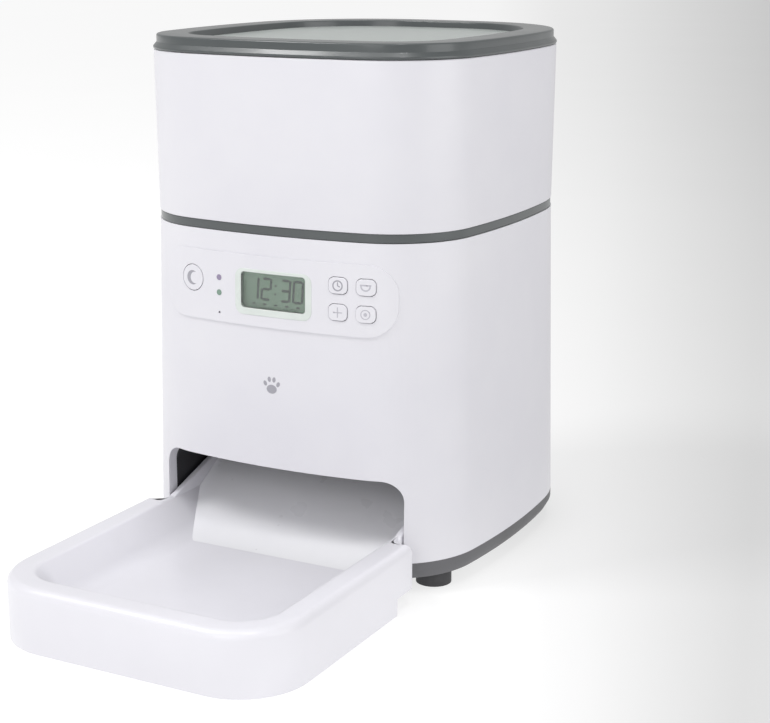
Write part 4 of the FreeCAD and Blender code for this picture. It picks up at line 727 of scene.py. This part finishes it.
def makeDisplay(s):   # slanted seven-segment digits, and a row of meal marks under them
    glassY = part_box("lcd_glass")[0].y
    windowLow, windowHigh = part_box("display_lens")
    centreX = (windowLow.x + windowHigh.x) / 2
    centreZ = (windowLow.z + windowHigh.z) / 2 + s["lift"]
    w, h, gap = s["digitWide"], s["digitHigh"], s["gap"]
    ends = {
        "a": ((0, h), (w, h)), "b": ((w, h), (w, h / 2)), "c": ((w, h / 2), (w, 0)),
        "d": ((0, 0), (w, 0)), "e": ((0, 0), (0, h / 2)), "f": ((0, h / 2), (0, h)),
        "g": ((0, h / 2), (w, h / 2)),
    }
    widths = [s["pitch"] * (0.5 if character == ":" else 1) for character in s["time"]]
    x = centreX - sum(widths) / 2 + (s["pitch"] - w) / 2
    bottom = centreZ - h / 2
    outlines = []

    def lean(points):
        return [(px + (pz - centreZ) * s["slant"], pz) for px, pz in points]

    for character, width in zip(s["time"], widths):
        if character == ":":
            for share in (0.3, 0.7):
                outlines.append(lean(disc(x + s["colonIn"], bottom + h * share, s["colon"], s["colon"], 12)))
        for segment in segmentsOf.get(character, ""):
            (x0, z0), (x1, z1) = ends[segment]
            inX = gap + s["stroke"] / 2 if z0 == z1 else 0
            inZ = 0 if z0 == z1 else math.copysign(gap, z1 - z0)
            outlines.append(lean(bar(x + x0 + inX, bottom + z0 + inZ, x + x1 - inX, bottom + z1 - inZ,
                                     s["stroke"])))
        x += width
    firstX, markZ = windowLow.x + s["mealFirst"][0], windowLow.z + s["mealFirst"][1]
    for index in range(s["meals"]):
        outlines.append(disc(firstX + index * s["mealPitch"], markZ, *s["mealMark"], 10))
    printPatch("displayDigits", outlines, lambda x, z: glassY, "lcdInk", "base")


makeDisplay(displaySettings)

iconSettings = {
    "keyProud": 1.3 * mm, "feedProud": 1.0 * mm,   # how far the key faces stand off the skin
    "clockRing": (3.0 * mm, 2.25 * mm), "hourHand": (0, 1.7 * mm), "minuteHand": (1.2 * mm, -0.5 * mm),
    "handWide": 0.65 * mm, "bowlRing": (2.9 * mm, 2.1 * mm), "bowlUp": 0.8 * mm, "brimUp": 1.2 * mm,
    "brimHalf": 3.1 * mm, "brimWide": 0.8 * mm, "plusHalf": 2.6 * mm, "plusWide": 0.6 * mm,
    "recordRing": (2.7 * mm, 2.2 * mm), "recordDot": 2 * mm, "moonOuter": 4.0 * mm, "moonInner": 3.3 * mm,
    "moonShift": 1.7 * mm, "moonStart": 75, "moonSweep": 210, "moonSteps": 18,
}


def centreOf(name):
    low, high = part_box(name)
    return (low.x + high.x) / 2, (low.z + high.z) / 2


def makeIcons(s):
    def keySkin(x, z):
        return frontY(x, z, s["keyProud"])

    x, z = centreOf("key_clock")
    hands = [bar(x, z, x + dx, z + dz, s["handWide"]) for dx, dz in (s["hourHand"], s["minuteHand"])]
    printPatch("iconClock", ringParts(x, z, *s["clockRing"]) + hands, keySkin, "inkGrey", "key_clock")
    x, z = centreOf("key_meal")
    bowl = ringParts(x, z + s["bowlUp"], *s["bowlRing"], 180, 360)
    bowl += strip(x, z + s["brimUp"], s["brimHalf"], s["brimWide"])
    printPatch("iconBowl", bowl, keySkin, "inkPale", "key_meal")
    x, z = centreOf("key_portion")
    half, wide = s["plusHalf"], s["plusWide"]
    plus = strip(x, z, half, wide) + [bar(x, z - half, x, z + half, wide)]
    printPatch("iconPlus", plus, keySkin, "inkPale", "key_portion")
    x, z = centreOf("key_record")
    record = ringParts(x, z, *s["recordRing"]) + [disc(x, z, s["recordDot"], s["recordDot"])]
    printPatch("iconRecord", record, keySkin, "inkPale", "key_record")
    x, z = centreOf("feed_button")
    outer, inner = [], []   # two arcs of different centres, joined by short pieces
    for index in range(s["moonSteps"] + 1):
        angle = math.radians(s["moonStart"] + s["moonSweep"] * index / s["moonSteps"])
        for arc, reach, shift in ((outer, s["moonOuter"], 0), (inner, s["moonInner"], s["moonShift"])):
            arc.append((x + shift + reach * math.cos(angle), z + reach * math.sin(angle)))
    moon = [[outer[i], outer[i + 1], inner[i + 1], inner[i]] for i in range(s["moonSteps"])]
    printPatch("iconMoon", moon, lambda x, z: frontY(x, z, s["feedProud"]), "inkGrey", "feed_button")


pawSettings = {
    "x": 1 * mm, "z": 112.5 * mm, "pad": (6.4 * mm, 5.0 * mm), "padDown": 1.8 * mm,
    "toe": (2.1 * mm, 3.0 * mm),
    "toes": ((-4.1, 1.2, 0.45), (-1.5, 3.6, 0.12), (1.5, 3.6, -0.12), (4.1, 1.2, -0.45)),   # mm, mm, turn
}


def makePaw(s):   # a small plain paw print under the panel
    x, z = s["x"], s["z"]
    pads = [disc(x, z - s["padDown"], *s["pad"])]
    pads += [disc(x + dx * mm, z + dz * mm, *s["toe"], 20, turn) for dx, dz, turn in s["toes"]]
    printPatch("pawPrint", pads, lambda x, z: frontY(x, z, 0), "inkGrey", "base")


makeIcons(iconSettings)
makePaw(pawSettings)
print("prints made")


# a geometry node tree with named inputs for its sizes, and for its counts
def newTree(name, sizes, counts=()):
    tree = bpy.data.node_groups.new(name, "GeometryNodeTree")
    sockets = [("Geometry", "NodeSocketGeometry")] + [(label, "NodeSocketInt") for label in counts]
    for label, kind in sockets + [(label, "NodeSocketFloat") for label in sizes]:
        tree.interface.new_socket(label, in_out="INPUT", socket_type=kind)
    tree.interface.new_socket("Geometry", in_out="OUTPUT", socket_type="NodeSocketGeometry")
    return tree, tree.nodes.new("NodeGroupInput").outputs, tree.nodes.new("NodeGroupOutput")


def closeTree(tree, geometry, material, out):
    real = addNode(tree, "GeometryNodeRealizeInstances", None, {"Geometry": geometry})
    paint = addNode(tree, "GeometryNodeSetMaterial", {"Material": material}, {"Geometry": real})
    tree.links.new(paint.outputs[0], out.inputs[0])


def socketId(tree, label):
    return next(item.identifier for item in tree.interface.items_tree
                if item.name == label and item.in_out == "INPUT")


def evaluated(name, tree, values, points, sharpAngle=40):   # runs a tree on points, keeps a plain mesh
    source = bpy.data.meshes.new(name + "Points")
    source.from_pydata(points, [], [])
    carrier = linkPiece(name + "Carrier", source)
    modifier = carrier.modifiers.new("pattern", "NODES")
    modifier.node_group = tree
    for label, value in values.items():
        modifier[socketId(tree, label)] = value
    graph = bpy.context.evaluated_depsgraph_get()
    mesh = bpy.data.meshes.new_from_object(carrier.evaluated_get(graph))
    bpy.data.objects.remove(carrier)
    mesh.name = name
    bm = bmesh.new()
    bm.from_mesh(mesh)
    bmesh.ops.recalc_face_normals(bm, faces=bm.faces)
    bm.to_mesh(mesh)
    bm.free()
    smoothMesh(mesh, sharpAngle)
    return linkPiece(name, mesh)


springSettings = {
    "turns": 5.0, "wire": 0.55 * mm, "small": 3.2 * mm, "large": 9.5 * mm, "coilSteps": 28,
    "wireSides": 8, "plateSides": 40, "plateThick": 0.5 * mm, "offWall": 0.3 * mm, "slack": 0.9 * mm,
}


def makeSprings(s):   # a conical spring for each cell, on its riveted plate
    low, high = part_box("battery_springs")
    cellLow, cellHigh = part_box("battery_cells")
    tree, given, out = newTree("conicalSpring", ["Turns", "Wire", "Small", "Large", "Length", "Plate"])
    spiral = addNode(tree, "GeometryNodeCurveSpiral", {"Resolution": s["coilSteps"]}, {
        "Rotations": given["Turns"], "Start Radius": given["Large"], "End Radius": given["Small"],
        "Height": given["Length"]})
    section = addNode(tree, "GeometryNodeCurvePrimitiveCircle", {"Resolution": s["wireSides"]},
                      {"Radius": given["Wire"]})
    coil = addNode(tree, "GeometryNodeCurveToMesh", {"Fill Caps": True},
                   {"Curve": spiral, "Profile Curve": section})
    plate = addNode(tree, "GeometryNodeMeshCylinder",
                    {"Vertices": s["plateSides"], "Depth": s["plateThick"]}, {"Radius": given["Plate"]})
    both = addNode(tree, "GeometryNodeJoinGeometry")
    for part, turn in ((coil, -math.pi / 2), (plate, math.pi / 2)):
        turned = addNode(tree, "GeometryNodeTransform", {"Rotation": (turn, 0, 0)}, {"Geometry": part})
        tree.links.new(turned.outputs[0], both.inputs[0])
    spread = addNode(tree, "GeometryNodeInstanceOnPoints", None,
                     {"Points": given["Geometry"], "Instance": both})
    closeTree(tree, spread, finishes["springSteel"], out)
    pitch = (cellHigh.x - cellLow.x - (cellHigh.z - cellLow.z)) / 2
    z = (cellLow.z + cellHigh.z) / 2
    piece = evaluated("batterySprings", tree, {
        "Turns": s["turns"], "Wire": s["wire"], "Small": s["small"], "Large": s["large"],
        "Length": high.y - low.y - s["slack"], "Plate": (high.z - low.z) / 2},
        [(pitch * cell, low.y + s["offWall"], z) for cell in (-1, 0, 1)])
    finishPiece(piece, "base", ["battery_springs"])


makeSprings(springSettings)

screwSettings = {
    "head": 2.8 * mm, "headHigh": 1.8 * mm, "shank": 1.5 * mm, "slot": 0.8 * mm, "slotLong": 4.0 * mm,
    "slotDeep": 1.0 * mm, "underHead": 0.72, "headSides": 36, "shankSides": 24, "tipGap": 0.01 * mm,
    "side": (97 * mm, 32 * mm), "back": (30 * mm, 115.8 * mm),   # places from the plan's middle
}


def makeBottomScrews(s):   # pan-head screws with a cross recess, one on each boss, heads down
    low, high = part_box("bottom_screws")
    tree, given, out = newTree("crossHeadScrew", ["Head", "Head High", "Shank", "Length"])
    under = addNode(tree, "ShaderNodeMath", {1: s["underHead"]}, {0: given["Head"]}, operation="MULTIPLY")
    head = addNode(tree, "GeometryNodeMeshCone", {"Vertices": s["headSides"]}, {
        "Radius Top": given["Head"], "Radius Bottom": under, "Depth": given["Head High"]})
    recess = addNode(tree, "GeometryNodeMeshBoolean", None, {"Mesh 1": head},
                     operation="DIFFERENCE")
    for wide, long in ((s["slotLong"], s["slot"]), (s["slot"], s["slotLong"])):
        cutter = addNode(tree, "GeometryNodeMeshCube", {"Size": (wide, long, s["slotDeep"] * 2)})
        tree.links.new(cutter.outputs[0], recess.inputs["Mesh 2"])
    shank = addNode(tree, "GeometryNodeMeshCylinder", {"Vertices": s["shankSides"]},
                    {"Radius": given["Shank"], "Depth": given["Length"]})
    middle = addNode(tree, "ShaderNodeMath", {1: 0.5}, {0: given["Length"]}, operation="MULTIPLY")
    above = addNode(tree, "ShaderNodeMath", None, {0: middle, 1: given["Head High"]},
                    operation="ADD")
    lift = addNode(tree, "ShaderNodeCombineXYZ", None, {"Z": above})
    raised = addNode(tree, "GeometryNodeTransform", None,
                     {"Geometry": shank, "Translation": lift})
    both = addNode(tree, "GeometryNodeJoinGeometry")
    for part in (recess, raised):
        tree.links.new(part.outputs[0], both.inputs[0])
    spread = addNode(tree, "GeometryNodeInstanceOnPoints", None,
                     {"Points": given["Geometry"], "Instance": both})
    closeTree(tree, spread, finishes["zincSteel"], out)
    (sideX, sideY), (backX, backY) = s["side"], s["back"]
    places = [(x, y) for x in (-sideX, sideX) for y in (-sideY, sideY)] + [(-backX, backY), (backX, backY)]
    piece = evaluated("bottomScrews", tree, {
        "Head": s["head"], "Head High": s["headHigh"], "Shank": s["shank"],
        "Length": high.z - low.z - s["headHigh"] - s["tipGap"]},
        [(x, plan["middleY"] + y, low.z) for x, y in places], 30)
    finishPiece(piece, "base", ["bottom_screws"])


makeBottomScrews(screwSettings)

gripSettings = {"count": 9, "pitch": 3.2 * mm, "length": 34 * mm, "wide": 1.2 * mm, "high": 0.5 * mm,
                "fromEdge": 6 * mm}


def makeDoorGrip(s):   # thumb ribs on the battery door
    low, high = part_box("battery_door")
    tree, given, out = newTree("thumbRibs", ["Pitch", "Length", "Wide", "High"], ["Count"])
    step = addNode(tree, "ShaderNodeCombineXYZ", None, {"Y": given["Pitch"]})
    row = addNode(tree, "GeometryNodeMeshLine", None, {"Count": given["Count"], "Offset": step},
                  mode="OFFSET")
    size = addNode(tree, "ShaderNodeCombineXYZ", None,
                   {"X": given["Length"], "Y": given["Wide"], "Z": given["High"]})
    rib = addNode(tree, "GeometryNodeMeshCube", None, {"Size": size})
    spread = addNode(tree, "GeometryNodeInstanceOnPoints", None, {"Points": row, "Instance": rib})
    first = (0, high.y - s["count"] * s["pitch"] - s["fromEdge"], low.z)
    place = addNode(tree, "GeometryNodeTransform", {"Translation": first}, {"Geometry": spread})
    closeTree(tree, place, finishes["plinthAbs"], out)
    piece = evaluated("doorGripRibs", tree, {
        "Count": s["count"], "Pitch": s["pitch"], "Length": s["length"], "Wide": s["wide"],
        "High": s["high"]}, [(0, 0, 0)])
    finishPiece(piece, "battery_door")


makeDoorGrip(gripSettings)
print("repeated pieces made")

studio = {
    "floor": 30.0, "world": 0.55, "stand": (481 * mm, -812 * mm), "turn": 28.0,
    "boxes": [   # name, watts, side, place, aim, shares of diffuse and of reflected light
        ("keySoftbox", 16.0, 0.6, (-0.95, -0.85, 1.85), (0, -0.03, 0.25), 0.04, 1.0),
        ("cornerSoftbox", 4.5, 0.26, (0.68, -0.6, 2.05), (0, -0.03, 0.25), 0.1, 1.0),
        ("frontSoftbox", 6.0, 1.0, (0.1, -2.0, 0.85), (0, 0, 0.1), 1.0, 0.2),
        ("topSoftbox", 4.6, 1.0, (0, -0.5, 2.2), (0, -0.1, 0), 1.0, 0.0),
        ("fillSoftbox", 12.5, 1.6, (2.3, -0.1, 0.8), (0, 0.03, 0.15), 1.0, 0.2),
    ],
    "paper": (0.33, 0.35),   # darkest and lightest fibre of the sweep
    "bearing": (-0.22, 1.2),   # radians from the middle to the right, seen from the stand
    # painted light: the sweep's emission glow between those bearings, which paints in how the light falls
    # off: share of the way, level
    "fall": [(0.0, 0.76), (0.197, 0.72), (0.225, 0.62), (0.244, 0.583), (0.282, 0.47), (0.311, 0.39),
             (0.55, 0.5), (0.9, 0.76)],
}


def sweepMaterial(s):   # a matt paper sweep with painted light: an emission glow that falls off softly towards the right
    material, tree, place = startMaterial("paintedGlowStudioSweep")
    fibre = addNode(tree, "ShaderNodeTexNoise", {"Scale": 3.0, "Detail": 2.0}, {"Vector": place})
    tint = addNode(tree, "ShaderNodeValToRGB", None, {"Fac": fibre})
    turn = math.radians(s["turn"])
    away = addNode(tree, "ShaderNodeVectorMath", {1: s["stand"] + (0,)}, {0: place}, operation="SUBTRACT")
    across, along = (
        addNode(tree, "ShaderNodeVectorMath", {1: axis}, {0: away}, operation="DOT_PRODUCT").outputs["Value"]
        for axis in ((math.cos(turn), math.sin(turn), 0), (-math.sin(turn), math.cos(turn), 0)))
    bearing = addNode(tree, "ShaderNodeMath", None, {0: across, 1: along},
                      operation="ARCTAN2")
    share = addNode(tree, "ShaderNodeMapRange", {"From Min": s["bearing"][0], "From Max": s["bearing"][1]},
                    {"Value": bearing})
    # painted light: an emission glow set by bearing, which paints in the fall-off of light across the sweep
    glow = addNode(tree, "ShaderNodeValToRGB", None, {"Fac": share})
    for ramp, stops in ((tint.color_ramp, list(zip((0, 1), s["paper"]))), (glow.color_ramp, s["fall"])):
        while len(ramp.elements) < len(stops):
            ramp.elements.new(0.5)
        for element, (position, level) in zip(ramp.elements, stops):
            element.position = position
            element.color = (level, level, level, 1)
    closeMaterial(tree, {"Base Color": tint, "Emission Color": glow},
                  Emission_Strength=1.0, Roughness=0.9, Specular_IOR_Level=0.0)
    return material


def turnTo(spot, aim):   # the rotation of a lamp or camera at spot that looks at aim
    return (Vector(aim) - Vector(spot)).to_track_quat("-Z", "Y").to_euler()


def makeStudio(s):
    half = s["floor"] / 2
    corners = [(-half, -half, 0), (half, -half, 0), (half, half, 0), (-half, half, 0)]
    makeMesh("studioFloor", corners, [(0, 1, 2, 3)], sweepMaterial(s), recalc=False)
    scene = bpy.context.scene
    scene.world = bpy.data.worlds.new("studioWorld")
    scene.world.use_nodes = True
    sky = scene.world.node_tree.nodes["Background"]
    sky.inputs["Color"].default_value = hexColor("#ffffff")
    sky.inputs["Strength"].default_value = s["world"]
    for name, power, side, spot, aim, diffuse, shine in s["boxes"]:
        data = bpy.data.lights.new(name, "AREA")
        data.energy, data.shape, data.size = power, "SQUARE", side
        data.diffuse_factor, data.specular_factor = diffuse, shine
        lamp = linkPiece(name, data)
        lamp.location = spot
        lamp.rotation_euler = turnTo(spot, aim)
    scene.view_settings.view_transform = "Standard"


makeStudio(studio)

view = {   # the camera's place and aim, from the plan's middle
    "lens": 80.3, "sensor": 36.0, "clip": (0.01, 100),
    "place": (481.1 * mm, -875.1 * mm, 358.4 * mm), "aim": (15.14 * mm, 2.78 * mm, 104.17 * mm),
}


def makeCamera(s):
    data = bpy.data.cameras.new("camera")
    data.lens, data.sensor_width = s["lens"], s["sensor"]
    data.clip_start, data.clip_end = s["clip"]
    camera = linkPiece("camera", data)
    camera.location = Vector(s["place"]) + Vector((0, plan["middleY"], 0))
    camera.rotation_euler = turnTo(s["place"], s["aim"])
    bpy.context.scene.camera = camera


makeCamera(view)
print("studio and camera made")

bpy.context.view_layer.update()
